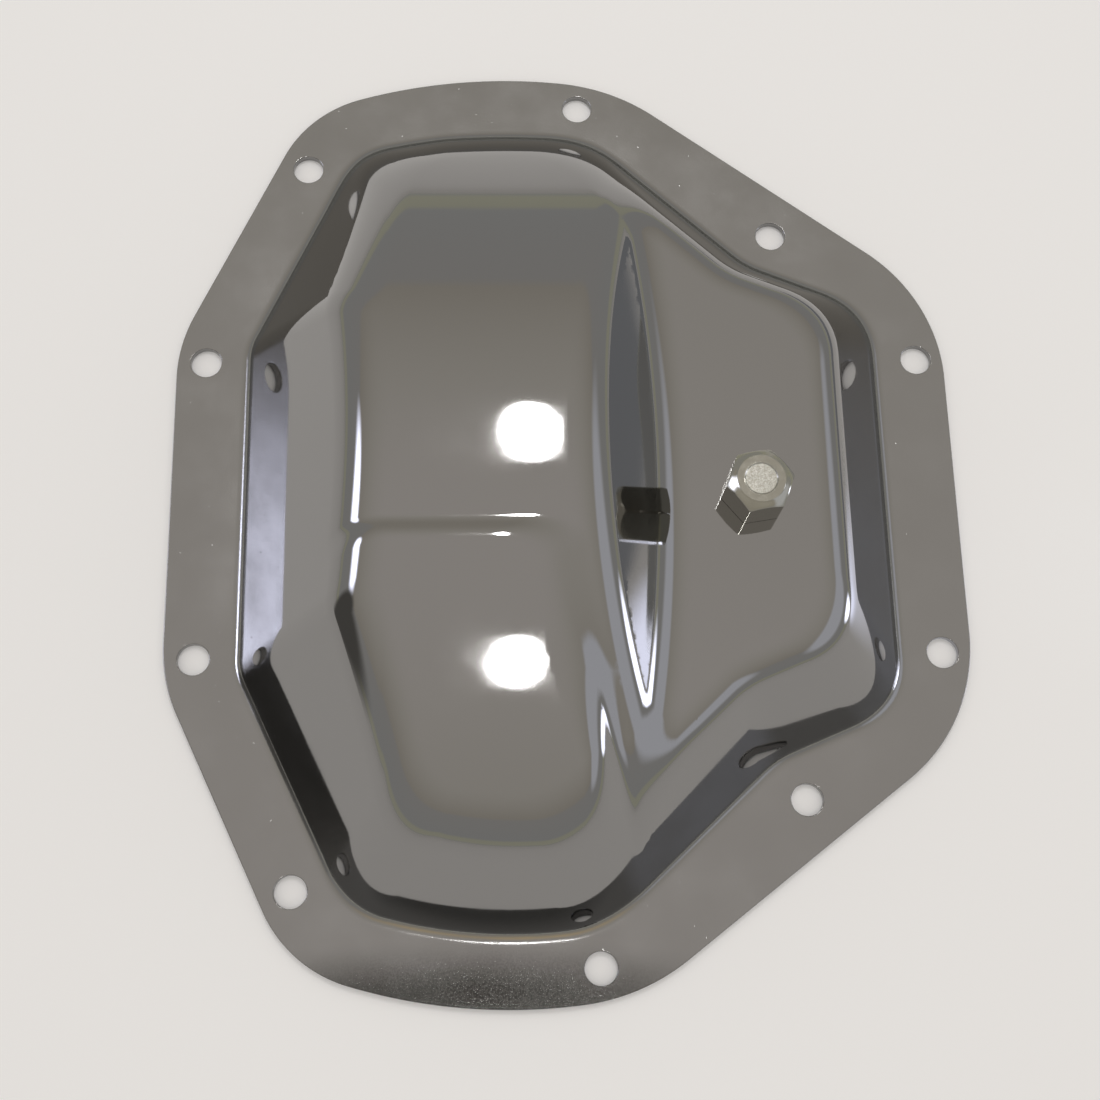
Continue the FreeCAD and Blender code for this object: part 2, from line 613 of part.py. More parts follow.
def turned_profile(body, name, corners):
    """Closed profile in the XZ plane; each corner is x, its formula, z, its formula."""
    sketch = new_sketch(body, name, "XZ_Plane")
    points = [Vector(across, up, 0) for across, _, up, _ in corners]
    count = len(points)
    for index in range(count):
        sketch.addGeometry(Part.LineSegment(points[index], points[(index + 1) % count]))
    for index in range(count):
        sketch.addConstraint(Sketcher.Constraint("Coincident", index, 2, (index + 1) % count, 1))
    for index, (across, across_formula, up, up_formula) in enumerate(corners):
        if across_formula == "0":
            sketch.addConstraint(Sketcher.Constraint("PointOnObject", index, 1, -2))
        else:
            number = sketch.addConstraint(Sketcher.Constraint("DistanceX", -1, 1, index, 1, across))
            bind(sketch, number, "across_%d" % index, across_formula)
        if up_formula == "0":
            sketch.addConstraint(Sketcher.Constraint("PointOnObject", index, 1, -1))
        else:
            number = sketch.addConstraint(Sketcher.Constraint("DistanceY", -1, 1, index, 1, up))
            bind(sketch, number, "up_%d" % index, up_formula)
    return sketch


def revolve(body, kind, name, sketch):
    """Turn a profile about the piece's upright axis."""
    feature = body.newObject(kind, name)
    feature.Profile = sketch
    feature.ReferenceAxis = (sketch, ["V_Axis"])
    feature.Angle = 360
    doc.recompute()
    return feature


# boss behind the fill hole, its upper face against the sheet
boss = doc.addObject("PartDesign::Body", "fill_boss")
boss.Label = "fill_boss"
BORE = "Sizes.thread_size / 2 + Sizes.thread_gap"
MOUTH = BORE + " + Sizes.boss_chamfer"
SIDE = "Sizes.boss_size / 2"
UNDER = "-Sizes.sheet_thickness"
BOSS_END = "-Sizes.sheet_thickness - Sizes.boss_length"
LIP = BOSS_END + " + Sizes.boss_chamfer"
bore = size("thread_size") / 2 + size("thread_gap")
side = size("boss_size") / 2
boss_end = -SHEET - size("boss_length")
boss_profile = turned_profile(boss, "boss_profile", [
    (bore, BORE, -SHEET, UNDER),
    (side, SIDE, -SHEET, UNDER),
    (side, SIDE, boss_end, BOSS_END),
    (bore + size("boss_chamfer"), MOUTH, boss_end, BOSS_END),
    (bore, BORE, boss_end + size("boss_chamfer"), LIP),
])
revolve(boss, "PartDesign::Revolution", "boss_turned", boss_profile)
place_on_panel(boss)

# weld bead in the corner between the boss and the sheet
bead = doc.addObject("PartDesign::Body", "boss_weld")
bead.Label = "boss_weld"
bead_profile = turned_profile(bead, "bead_profile", [
    (side, SIDE, -SHEET, UNDER),
    (side + size("weld_leg"), SIDE + " + Sizes.weld_leg", -SHEET, UNDER),
    (side, SIDE, -SHEET - size("weld_leg"), UNDER + " - Sizes.weld_leg"),
])
revolve(bead, "PartDesign::Revolution", "bead_turned", bead_profile)
place_on_panel(bead)

# plug: hexagon with a turned chamfer, a round mark in its face and a threaded shank
plug = doc.addObject("PartDesign::Body", "fill_plug")
plug.Label = "fill_plug"
head_plan = new_sketch(plug, "head_plan", "XY_Plane")
corner_reach = size("head_flats") / math.sqrt(3)
corners = [turned(size("head_turn") + 60 * index, corner_reach) for index in range(6)]
for index in range(6):
    head_plan.addGeometry(Part.LineSegment(corners[index], corners[(index + 1) % 6]))
head_plan.addGeometry(Part.Circle(Vector(0, 0, 0), Vector(0, 0, 1), corner_reach), True)
head_plan.addGeometry(Part.LineSegment(Vector(0, 0, 0), corners[0]), True)
for index in range(6):
    head_plan.addConstraint(Sketcher.Constraint("Coincident", index, 2, (index + 1) % 6, 1))
    head_plan.addConstraint(Sketcher.Constraint("PointOnObject", index, 1, 6))
for index in range(5):
    head_plan.addConstraint(Sketcher.Constraint("Equal", index, index + 1))
head_plan.addConstraint(Sketcher.Constraint("Coincident", 6, 3, -1, 1))
head_plan.addConstraint(Sketcher.Constraint("Coincident", 7, 1, -1, 1))
head_plan.addConstraint(Sketcher.Constraint("Coincident", 7, 2, 0, 1))
number = head_plan.addConstraint(Sketcher.Constraint("Radius", 6, corner_reach))
bind(head_plan, number, "corner_reach", "Sizes.head_flats / sqrt(3)")
number = head_plan.addConstraint(Sketcher.Constraint("Angle", 7, math.radians(size("head_turn"))))
bind(head_plan, number, "head_turn", "Sizes.head_turn * 1 deg")
head = plug.newObject("PartDesign::Pad", "hexagon")
head.Profile = head_plan
head.setExpression("Length", "Sizes.head_height")
doc.recompute()

thread = size("thread_size") / 2
tip = size("plug_tip")
shank_end = -size("plug_length")
shank_profile = turned_profile(plug, "shank_profile", [
    (0, "0", 0, "0"),
    (thread, "Sizes.thread_size / 2", 0, "0"),
    (thread, "Sizes.thread_size / 2", shank_end + tip, "Sizes.plug_tip - Sizes.plug_length"),
    (thread - tip, "Sizes.thread_size / 2 - Sizes.plug_tip", shank_end, "-Sizes.plug_length"),
    (0, "0", shank_end, "-Sizes.plug_length"),
])
revolve(plug, "PartDesign::Revolution", "shank", shank_profile)

wide = size("head_flats")
top = size("head_height")
round_top = size("head_top") / 2
fall = (wide - round_top) * math.tan(math.radians(size("head_chamfer_slope")))
TOP = "Sizes.head_height"
ROUND_TOP = "Sizes.head_top / 2"
FALL = "(Sizes.head_flats - Sizes.head_top / 2) * tan(Sizes.head_chamfer_slope * 1 deg)"
chamfer_profile = turned_profile(plug, "chamfer_profile", [
    (round_top, ROUND_TOP, top, TOP),
    (wide, "Sizes.head_flats", top, TOP),
    (wide, "Sizes.head_flats", top - fall, TOP + " - " + FALL),
])
revolve(plug, "PartDesign::Groove", "turned_chamfer", chamfer_profile)

mark = size("head_mark") / 2
sink = size("head_sink")
SUNK = "Sizes.head_height - Sizes.head_sink"
mark_profile = turned_profile(plug, "mark_profile", [
    (0, "0", top, TOP),
    (mark, "Sizes.head_mark / 2", top, TOP),
    (mark - sink, "Sizes.head_mark / 2 - Sizes.head_sink", top - sink, SUNK),
    (0, "0", top - sink, SUNK),
])
revolve(plug, "PartDesign::Groove", "round_mark", mark_profile)

rim_profile = turned_profile(plug, "rim_profile", [
    (size("head_face") / 2, "Sizes.head_face / 2", top, TOP),
    (round_top, ROUND_TOP, top, TOP),
    (round_top, ROUND_TOP, top - sink, SUNK),
])
revolve(plug, "PartDesign::Groove", "rim_break", rim_profile)
place_on_panel(plug)
doc.recompute()

SUB_PARTS = [shell, boss, bead, plug]

for item in doc.Objects:
    if "Invalid" in item.State or "Error" in item.State:
        raise RuntimeError("%s failed: %s" % (item.Name, item.State))
for item in SUB_PARTS:
    shape = item.Shape
    if shape.isNull() or not shape.isValid() or len(shape.Solids) != 1:
        raise RuntimeError("%s is not one sound solid" % item.Label)
for item in SUB_PARTS:
    item.Shape.exportStep("parts/%s.step" % item.Label)
    box = item.Shape.BoundBox
    print(item.Label, "volume", round(item.Shape.Volume, 1), "box",
          [round(value, 1) for value in (box.XMin, box.XMax, box.YMin, box.YMax, box.ZMin, box.ZMax)])
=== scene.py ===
"""Chromed steel cover of an axle differential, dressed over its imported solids."""

import logging
import math
from dataclasses import dataclass, field
from enum import Enum
from functools import partial

import bpy
import numpy as np
from mathutils import Matrix, Vector
from mathutils.geometry import delaunay_2d_cdt


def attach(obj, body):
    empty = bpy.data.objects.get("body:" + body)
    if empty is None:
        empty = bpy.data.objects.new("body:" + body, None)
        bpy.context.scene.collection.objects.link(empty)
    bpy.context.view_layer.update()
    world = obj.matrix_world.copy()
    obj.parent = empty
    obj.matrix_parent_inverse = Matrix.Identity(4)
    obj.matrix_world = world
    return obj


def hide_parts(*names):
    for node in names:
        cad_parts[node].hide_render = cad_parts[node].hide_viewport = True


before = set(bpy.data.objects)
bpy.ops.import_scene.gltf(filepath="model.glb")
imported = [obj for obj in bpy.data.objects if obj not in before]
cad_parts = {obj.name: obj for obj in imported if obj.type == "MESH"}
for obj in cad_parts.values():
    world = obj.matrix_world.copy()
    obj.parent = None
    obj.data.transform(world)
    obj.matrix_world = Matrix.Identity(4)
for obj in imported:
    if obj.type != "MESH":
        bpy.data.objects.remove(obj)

LOG = logging.getLogger("cover")
MM = 0.001

Array = np.ndarray
Socket = bpy.types.NodeSocket
Pair = tuple[float, float]
Triple = tuple[float, float, float]

# axis that the fill hole, its boss, weld and plug share, in millimetres
FILL: Pair = (62.0, -10.9)


def linear(code: str) -> tuple[float, float, float, float]:
    """Turn an sRGB hex colour to linear.

    Args:
        code: six hex digits.

    Returns:
        Red, green, blue and an alpha of 1.
    """
    values = []
    for start in (0, 2, 4):
        share = int(code[start:start + 2], 16) / 255.0
        values.append(share / 12.92 if share <= 0.04045 else ((share + 0.055) / 1.055) ** 2.4)
    return (values[0], values[1], values[2], 1.0)


def node(tree: bpy.types.NodeTree, kind: str, links: dict | None = None,
         **settings: object) -> bpy.types.Node:
    """Add a node with its settings and links.

    Args:
        tree: tree that gets the node.
        kind: the node's bl_idname.
        links: input name or number to an output socket or a plain value.
        settings: properties of the node.

    Returns:
        The new node.
    """
    made = tree.nodes.new(kind)
    for name, value in settings.items():
        setattr(made, name, value)
    for name, value in (links or {}).items():
        socket = made.inputs[name]
        if isinstance(value, bpy.types.NodeSocket):
            tree.links.new(value, socket)
        else:
            socket.default_value = value
    return made


def reckon(tree: bpy.types.NodeTree, kind: str, *values: Socket | float) -> Socket:
    """Result of one sum on numbers or sockets."""
    return node(tree, "ShaderNodeMath", dict(enumerate(values)), operation=kind).outputs["Value"]


def placed(name: str, data: bpy.types.ID) -> bpy.types.Object:
    """Make an object of its data and link it to the scene."""
    made = bpy.data.objects.new(name, data)
    bpy.context.scene.collection.objects.link(made)
    return made


class Recipe:
    """Node tree of one material, worked out over the object's own coordinates, in metres."""

    def __init__(self, name: str) -> None:
        """Start an empty material."""
        self.material = bpy.data.materials.new(name)
        self.material.use_nodes = True
        self.tree = self.material.node_tree
        self.tree.nodes.clear()
        self.place = node(self.tree, "ShaderNodeTexCoord").outputs["Object"]
        self.sums = partial(reckon, self.tree)

    def noise(self, scale: float, detail: float, roughness: float = 0.5, distortion: float = 0.0) -> Socket:
        """Cloudy pattern, 0 to 1; a scale of 1000 gives clouds 1 mm wide."""
        return node(self.tree, "ShaderNodeTexNoise", {
            "Vector": self.place, "Scale": scale, "Detail": detail, "Roughness": roughness,
            "Distortion": distortion}).outputs["Fac"]

    def dots(self, scale: float, inner: float, outer: float, lift: float) -> Socket:
        """Scattered dots: lift at their middle, 0 from the outer radius, both as shares of a cell."""
        cells = node(self.tree, "ShaderNodeTexVoronoi", {
            "Vector": self.place, "Scale": scale, "Randomness": 1.0})
        return self.spread(cells.outputs["Distance"], inner, outer, lift, 0.0)

    def spread(self, value: Socket, low: float, high: float, first: float = 0.0, last: float = 1.0,
               smooth: bool = False) -> Socket:
        """Turn the range from low to high into first to last, clipped beyond it."""
        return node(self.tree, "ShaderNodeMapRange", {
            "Value": value, "From Min": low, "From Max": high, "To Min": first, "To Max": last},
            interpolation_type="SMOOTHSTEP" if smooth else "LINEAR").outputs["Result"]

    def away(self, centre: Vector, scale: Vector) -> Socket:
        """Distance from a place, each axis with its own scale."""
        vector = partial(node, self.tree, "ShaderNodeVectorMath")
        local = vector({0: self.place, 1: tuple(centre)}, operation="SUBTRACT")
        scaled = vector({0: local.outputs["Vector"], 1: tuple(scale)}, operation="MULTIPLY")
        return vector({0: scaled.outputs["Vector"]}, operation="LENGTH").outputs["Value"]

    def mixed(self, share: Socket, first: Socket | str, second: str) -> Socket:
        """Mix two colours, given as hex or as a socket."""
        low = linear(first) if isinstance(first, str) else first
        return node(self.tree, "ShaderNodeMix", {"Factor": share, 6: low, 7: linear(second)},
                    data_type="RGBA").outputs[2]

    def bump(self, height: Socket, strength: float, distance: float) -> Socket:
        """Normals bent by a height; the distance is the height of 1, in metres."""
        return node(self.tree, "ShaderNodeBump", {
            "Height": height, "Strength": strength, "Distance": distance}).outputs["Normal"]

    def metal(self, colour: Socket | str, roughness: Socket, normal: Socket) -> bpy.types.Material:
        """Close the recipe as bare or plated metal and return its material."""
        tone = linear(colour) if isinstance(colour, str) else colour
        shader = node(self.tree, "ShaderNodeBsdfPrincipled", {
            "Base Color": tone, "Metallic": 1.0, "Roughness": roughness, "Normal": normal})
        return self.close(shader.outputs["BSDF"])

    def close(self, shader: Socket) -> bpy.types.Material:
        """Link a shader to the output and return the material."""
        node(self.tree, "ShaderNodeOutputMaterial", {"Surface": shader})
        return self.material


def rounded_low(first: Array, second: Array, width: float) -> Array:
    """Lower of two depths, rounded where they cross within a width."""
    share = np.clip(width - np.abs(first - second), 0.0, None) / width
    return np.minimum(first, second) - share * share * width * 0.25


def rounded_high(first: Array, second: Array, width: float) -> Array:
    """Higher of two depths, rounded where they cross within a width."""
    return -rounded_low(-first, -second, width)


def width_of(radius: float, turn: float) -> float:
    """Width of a rounding from its radius and the turn of its faces, in degrees."""
    angle = math.radians(turn)
    return radius * math.tan(angle / 2.0) * math.sin(angle)


@dataclass(frozen=True)
class PressedForm:
    """Depth of any point below the outer face of the pressed sheet, in millimetres.

    The walls lean in alike all round. The bulge is curved along its length, the flat panel lies
    beside it, and the raised pad covers its lower half. Walls and corners are pairs of numbers: the
    direction and distance of a bend line, and the radius and turn of a rounding.
    """

    sheet: float = 3.0
    lean: float = 31.5
    bend: float = 5.0
    dome_height: float = 76.0
    dome_radius: float = 205.0
    panel_height: float = 47.0
    crescent_foot: float = 32.6
    crescent_radius: float = 560.0
    crescent_slope: float = 46.5
    pad_edge: float = 29.0
    pad_side: float = 7.2
    pad_rise: float = 3.1
    pad_end: float = 125.7
    pad_end_height: float = 50.5
    pad_radius: float = 420.0
    pad_corner: Pair = (13.0, 74.0)
    pad_crown: Pair = (10.0, 60.0)
    pad_blend: float = 2.6
    side_lean: float = 25.0
    side_from: float = -118.0
    side_run: float = 42.0
    panel_bend: float = 18.5
    bulge_bend: float = 21.0
    crown: float = 17.0
    left_round: float = 0.35
    left_from: float = -45.0
    left_run: float = 20.0
    walls: tuple[Pair, ...] = (
        (180.0, 122.0), (154.8, 137.3), (47.4, 123.2), (67.8, 120.3), (0.0, 122.0))
    corners: tuple[Pair, ...] = (
        (26.0, 21.4), (42.0, 17.4), (34.0, 57.0), (30.0, 44.0), (46.0, 34.0))
    end_centre: Pair = (-20.0, -19.9)
    end_radius: float = 178.8
    rounds: int = 46

    def wall(self, reach: Array, z: Array) -> Array:
        """Depth behind a leaning wall; reach is how far inside its bend line the point lies."""
        angle = math.radians(self.lean)
        start = self.bend * math.tan((math.pi / 2 - angle) / 2)
        return (reach - start) * math.cos(angle) - (z - self.sheet) * math.sin(angle)

    def block(self, x: Array, y: Array, z: Array) -> Array:
        """Depth behind the walls all round, with their upright corners rounded."""
        up = np.abs(y)
        depth = []
        for turn, distance in self.walls:
            angle = math.radians(turn)
            depth.append(self.wall(distance - x * math.cos(angle) - up * math.sin(angle), z))
        end = self.end_radius - np.hypot(x - self.end_centre[0], up - self.end_centre[1])
        slope, waist, side, end_left, end_right = (width_of(*corner) for corner in self.corners)
        left = rounded_low(depth[0], depth[1], slope)
        right = rounded_low(rounded_high(depth[2], depth[3], waist), depth[4], side)
        left = rounded_low(left, self.wall(end, z), end_left)
        return rounded_low(left, right, end_right)

    def bulge_level(self, along: float) -> float:
        """Height of the bulge at a place along its length."""
        return self.dome_height - self.dome_radius + math.sqrt(self.dome_radius ** 2 - along ** 2)

    def pad(self, x: Array, y: Array, z: Array) -> Array:
        """Depth behind the pad's top and its two leaning edges."""
        angle = math.radians(self.lean)
        base = self.bulge_level(self.pad_edge)
        top = base + self.pad_rise
        run = Vector((-self.pad_end + self.pad_edge, self.pad_end_height - top))
        across = Vector((run.y, -run.x)).normalized()
        if across.y < 0:
            across.negate()
        depth = math.sqrt(self.pad_radius ** 2 - run.length_squared / 4)
        centre = Vector((-self.pad_edge, top)) + run / 2 - across * depth
        crown = self.pad_radius - np.hypot(y - centre.x, z - centre.y)
        edge = (-self.pad_edge - y) * math.cos(angle) - (z - base) * math.sin(angle)
        # the side leans over more where the pad stands lower above the bulge
        level = centre.y + np.sqrt(np.clip(self.pad_radius ** 2 - (y - centre.x) ** 2, 1.0, None))
        edge_x = -self.pad_side + (top - level) * math.tan(angle)
        share = np.clip((y - self.side_from) / self.side_run, 0.0, 1.0)
        tilt = np.radians(self.lean + self.side_lean * share)
        side = (edge_x - x) * np.cos(tilt) - (z - level) * np.sin(tilt)
        rim = rounded_low(edge, side, width_of(*self.pad_corner))
        return rounded_low(crown, rim, width_of(*self.pad_crown))

    def depth(self, x: Array, y: Array, z: Array) -> Array:
        """Depth of points below the outer face of the whole sheet, flange included."""
        dome = self.dome_radius - np.hypot(y, z - self.dome_height + self.dome_radius)
        bulge = rounded_high(dome, self.pad(x, y, z), self.pad_blend)
        slope = math.radians(self.crescent_slope)
        ring = np.hypot(x - self.crescent_foot + self.crescent_radius, y)
        crescent = (self.crescent_radius - ring) * math.sin(slope)
        crescent = crescent - (z - self.panel_height) * math.cos(slope)
        low = rounded_high(self.panel_height - z, crescent, width_of(self.panel_bend, self.crescent_slope))
        body = rounded_low(bulge, low, width_of(self.bulge_bend, self.crescent_slope))
        # the crown on the side away from the panel is rounder
        turn = 90.0 - self.lean
        wider = 1.0 + self.left_round * np.clip((self.left_from - x) / self.left_run, 0.0, 1.0)
        shell = rounded_low(body, self.block(x, y, z), width_of(self.crown, turn) * wider)
        return rounded_high(self.sheet - z, shell, width_of(self.bend, turn))

    def height(self, x: Array, y: Array, depth: float) -> Array:
        """Height at which points of the plan lie at a depth below the outer face."""
        z = np.full(x.shape, -depth, dtype=float)
        for _ in range(self.rounds):
            z = z + self.depth(x, y, z) - depth
        return z

    def normal(self, x: Array, y: Array, z: Array) -> Array:
        """Outward normals of the face through each point."""
        step = 0.02
        slopes = [
            self.depth(x + step, y, z) - self.depth(x - step, y, z),
            self.depth(x, y + step, z) - self.depth(x, y - step, z),
            self.depth(x, y, z + step) - self.depth(x, y, z - step),
        ]
        normals = -np.stack(slopes, axis=1)
        return normals / np.linalg.norm(normals, axis=1)[:, None]


@dataclass(frozen=True)
class FlangeOutline:
    """Sheared outline of the flange: straight sides, round ends and rounded corners."""

    left: float = 146.3
    right: float = 146.3
    left_slope: Pair = (154.8, 160.0)
    right_slope: Pair = (53.3, 154.7)
    end_centre: Pair = (-20.0, -19.9)
    end_radius: float = 199.975
    left_radius: float = 60.0
    end_left_radius: float = 48.0
    end_right_radius: float = 75.0
    right_radius: float = 66.0
    step: float = 1.6
    left_parts: int = 16

    @staticmethod
    def turned(angle: float) -> Vector:
        """Plan vector at an angle from +X, in degrees."""
        return Vector((math.cos(math.radians(angle)), math.sin(math.radians(angle))))

    def crossing(self, first: Pair, second: Pair) -> Vector:
        """Point where two lines meet, each given by its normal's angle and its distance."""
        a, b = self.turned(first[0]), self.turned(second[0])
        share = a.x * b.y - a.y * b.x
        return Vector((first[1] * b.y - second[1] * a.y, a.x * second[1] - b.x * first[1])) / share

    def on_end(self, line: Pair, radius: float, side: int) -> Vector:
        """Centre of a corner between a line and the round end."""
        normal = self.turned(line[0])
        along = Vector((-normal.y, normal.x))
        centre = Vector(self.end_centre)
        foot = normal * (line[1] - radius)
        start = (centre - foot).dot(along)
        gap = line[1] - radius - centre.dot(normal)
        return foot + along * (start + side * math.sqrt((self.end_radius - radius) ** 2 - gap ** 2))

    def loop(self, inset: float) -> Array:
        """Points of the outline, moved in by an inset, counter-clockwise.

        Args:
            inset: distance inside the sheared edge.

        Returns:
            One row for each point; the number of points is the same for every inset.
        """
        right, left = (0.0, self.right), (180.0, self.left)
        radii = (self.right_radius, self.end_right_radius, self.end_left_radius, self.left_radius)
        centre_right = self.crossing((right[0], right[1] - radii[0]),
                                     (self.right_slope[0], self.right_slope[1] - radii[0]))
        centre_left = self.crossing((left[0], left[1] - radii[3]),
                                    (self.left_slope[0], self.left_slope[1] - radii[3]))
        end_right = self.on_end(self.right_slope, radii[1], 1)
        end_left = self.on_end(self.left_slope, radii[2], -1)
        centre = Vector(self.end_centre)
        first = math.degrees(math.atan2(end_right.y - centre.y, end_right.x - centre.x))
        last = math.degrees(math.atan2(end_left.y - centre.y, end_left.x - centre.x))
        arcs = (
            (centre_right, radii[0], 0.0, self.right_slope[0]),
            (end_right, radii[1], self.right_slope[0], first),
            (centre, self.end_radius, first, last),
            (end_left, radii[2], last, self.left_slope[0]),
            (centre_left, radii[3], self.left_slope[0], 180.0),
        )
        stations = [(Vector((self.right, 0.0)), Vector((-1.0, 0.0)), 1)]
        for middle, radius, start, stop in arcs:
            begin = middle + self.turned(start) * radius
            parts = max(1, round((begin - stations[-1][0]).length / (2 * self.step)))
            if parts > 1 or (begin - stations[-1][0]).length > 1e-3:
                stations.append((begin, -self.turned(start), parts))
            count = max(4, int(radius * math.radians(stop - start) / self.step))
            for part in range(1, count + 1):
                turn = start + (stop - start) * part / count
                stations.append((middle + self.turned(turn) * radius, -self.turned(turn), 1))
        stations.append((Vector((-self.left, 0.0)), Vector((1.0, 0.0)), self.left_parts))
        half = [stations[0][0] + stations[0][1] * inset]
        for spot, inward, parts in stations[1:]:
            target = spot + inward * inset
            run = target - half[-1]
            begin = half[-1]
            half.extend(begin + run * (part / parts) for part in range(1, parts + 1))
        upper = np.array([(point.x, point.y) for point in half])
        lower = upper[1:-1][::-1] * np.array([1.0, -1.0])
        return np.vstack([upper, lower])


class Mesh:
    """Collects points, faces and normals of one mesh, in millimetres."""

    def __init__(self) -> None:
        """Start empty."""
        self.points: list[Array] = []
        self.normals: list[Array] = []
        self.faces: list[tuple[int, ...]] = []
        self.count = 0

    def add(self, points: Array, normals: Array) -> int:
        """Add points and return the number of the first."""
        start = self.count
        self.points.append(points)
        self.normals.append(normals)
        self.count += len(points)
        return start

    def strip(self, first: int, second: int, count: int, flip: bool = False) -> None:
        """Close the band between two rings of points."""
        for index in range(count):
            after = (index + 1) % count
            face = (first + index, first + after, second + after, second + index)
            self.faces.append(face[::-1] if flip else face)

    def build(self, name: str) -> bpy.types.Object:
        """Make the object, smooth, with its own normals."""
        data = bpy.data.meshes.new(name)
        points = np.vstack(self.points) * MM
        data.from_pydata(points.tolist(), [], self.faces)
        data.update()
        data.polygons.foreach_set("use_smooth", [True] * len(data.polygons))
        data.normals_split_custom_set_from_vertices(np.vstack(self.normals).tolist())
        return placed(name, data)


@dataclass(frozen=True)
class ChromePlate:
    """Bright chrome plate on pressed steel: a grey mirror on the drawn form, and a finer, duller
    mirror on the flange, where the rolled grain of the sheet shows through the plate."""

    name: str = "chrome_plate"
    slot: str = "chrome"
    colour: str = "8D8C8B"
    form_roughness: float = 0.035
    flange_roughness: float = 0.13
    flange_top: float = 3.3
    flange_fade: float = 4.0
    # painted dark reflection of the camera on the lower end of the flange: its colour, its place, and its
    # half sizes in millimetres
    painted_reflection_and_grain: str = "3E3E3C"
    painted_reflection_place: Triple = (-42.0, -180.0, 3.0)
    painted_reflection_reach: Pair = (125.0, 25.0)
    # brighter tan colour of a band in the foot bend along the lower end
    tan: str = "C2B08C"
    tan_band: Triple = (3.2, 3.6, 4.4)
    tan_end: Pair = (-152.0, -144.0)

    def make(self) -> bpy.types.Material:
        """Build the material."""
        recipe = Recipe(self.name)
        spread, sums = recipe.spread, recipe.sums
        level = node(recipe.tree, "ShaderNodeSeparateXYZ", {"Vector": recipe.place}).outputs
        # how much a point belongs to the flange: all of it up to the sheet's face, none 4 mm above
        flange = spread(level["Z"], self.flange_top * MM, (self.flange_top + self.flange_fade) * MM, 1.0, 0.0)
        # hazy patches about 25 mm wide, from polishing and handling
        haze = recipe.noise(38.0, 5.0, 0.6)
        rough = sums("MULTIPLY", spread(flange, 0.0, 1.0, self.form_roughness, self.flange_roughness),
                     spread(haze, 0.3, 0.75, 0.7, 2.0))
        # rolled grain of the sheet, 0.5 mm, and dust specks and nicks of 0.3 to 0.8 mm on the flange
        grain = recipe.noise(1900.0, 2.0)
        share = spread(flange, 0.0, 1.0, 0.014, 0.24)
        nick = sums("MULTIPLY", recipe.dots(190.0, 0.03, 0.07, 1.0), flange)
        # painted dark reflection of the camera along the lower end of the flange, about 200 mm long: the
        # plate's colour is darkened there and broken up by the grain, and the grain is coarser
        scale = Vector((1.0 / (self.painted_reflection_reach[0] * MM), 1.0 / (self.painted_reflection_reach[1] * MM), 0.0))
        away = recipe.away(Vector(self.painted_reflection_place) * MM, scale)
        painted_reflection_and_grain = sums("MULTIPLY", spread(away, 0.25, 1.0, 1.0, 0.0, smooth=True), flange)
        painted_reflection_share = sums("MULTIPLY", painted_reflection_and_grain, spread(grain, 0.35, 0.65, 1.0, 0.72))
        plated = recipe.mixed(painted_reflection_share, self.colour, self.painted_reflection_and_grain)
        # tan band in the foot bend, brighter than the plate, 1 mm wide, along the same end
        foot, middle, top = (value * MM for value in self.tan_band)
        band = sums("MULTIPLY", spread(level["Z"], foot, middle), spread(level["Z"], middle, top, 1.0, 0.0))
        along = spread(level["Y"], self.tan_end[0] * MM, self.tan_end[1] * MM, 1.0, 0.0)
        tan_share = sums("MULTIPLY", sums("MULTIPLY", band, along), haze)
        tone = recipe.mixed(tan_share, plated, self.tan)
        # the patch of the painted reflection also gets coarser grain bumps
        coarse = sums("MULTIPLY_ADD", painted_reflection_and_grain, 0.5, share)
        marks = sums("MULTIPLY_ADD", nick, 0.35, sums("MULTIPLY", grain, coarse))
        # a few nicks in the polished form, 0.5 mm wide, 20 mm apart, and slight waves of the pressing
        waved = sums("MULTIPLY_ADD", recipe.noise(60.0, 1.0), 0.1, recipe.dots(48.0, 0.012, 0.03, 0.12))
        return recipe.metal(tone, rough, recipe.bump(sums("ADD", marks, waved), 1.0, 0.0001))


@dataclass(frozen=True)
class ZincPlate:
    """Plated steel of the plug: an olive grey mirror, a little dull, whose face is scratched bright
    and crumbly in the middle, where it was struck."""

    name: str = "zinc_plate"
    slot: str = "plug_steel"
    colour: str = "9D9B92"
    struck: str = "C4C3BE"
    roughness: float = 0.12
    face: Triple = (*FILL, 62.3)
    struck_radius: float = 5.6
    struck_edge: float = 1.2
    ragged: float = 1.6

    def make(self) -> bpy.types.Material:
        """Build the material."""
        recipe = Recipe(self.name)
        spread, sums = recipe.spread, recipe.sums
        # duller and brighter patches, 2 mm wide
        patch = recipe.noise(500.0, 4.0)
        rough = spread(patch, 0.3, 0.7, self.roughness * 0.7, self.roughness * 1.6)
        # how near a point is to the middle of the face, with a ragged edge
        away = recipe.away(Vector(self.face) * MM, Vector((1.0, 1.0, 1.0)))
        middle = spread(sums("MULTIPLY_ADD", patch, self.ragged * MM, away), self.struck_radius * MM,
                        (self.struck_radius + self.struck_edge) * MM, 1.0, 0.0)
        # crumbled marks, 0.6 mm apart, that wind about
        marks = recipe.noise(1700.0, 2.0, distortion=1.6)
        struck = sums("MULTIPLY", spread(marks, 0.47, 0.6), middle)
        height = sums("MULTIPLY", marks, sums("MULTIPLY_ADD", middle, 0.3, 0.012))
        return recipe.metal(recipe.mixed(struck, self.colour, self.struck),
                            sums("MULTIPLY_ADD", middle, 0.22, rough), recipe.bump(height, 1.0, 0.0003))


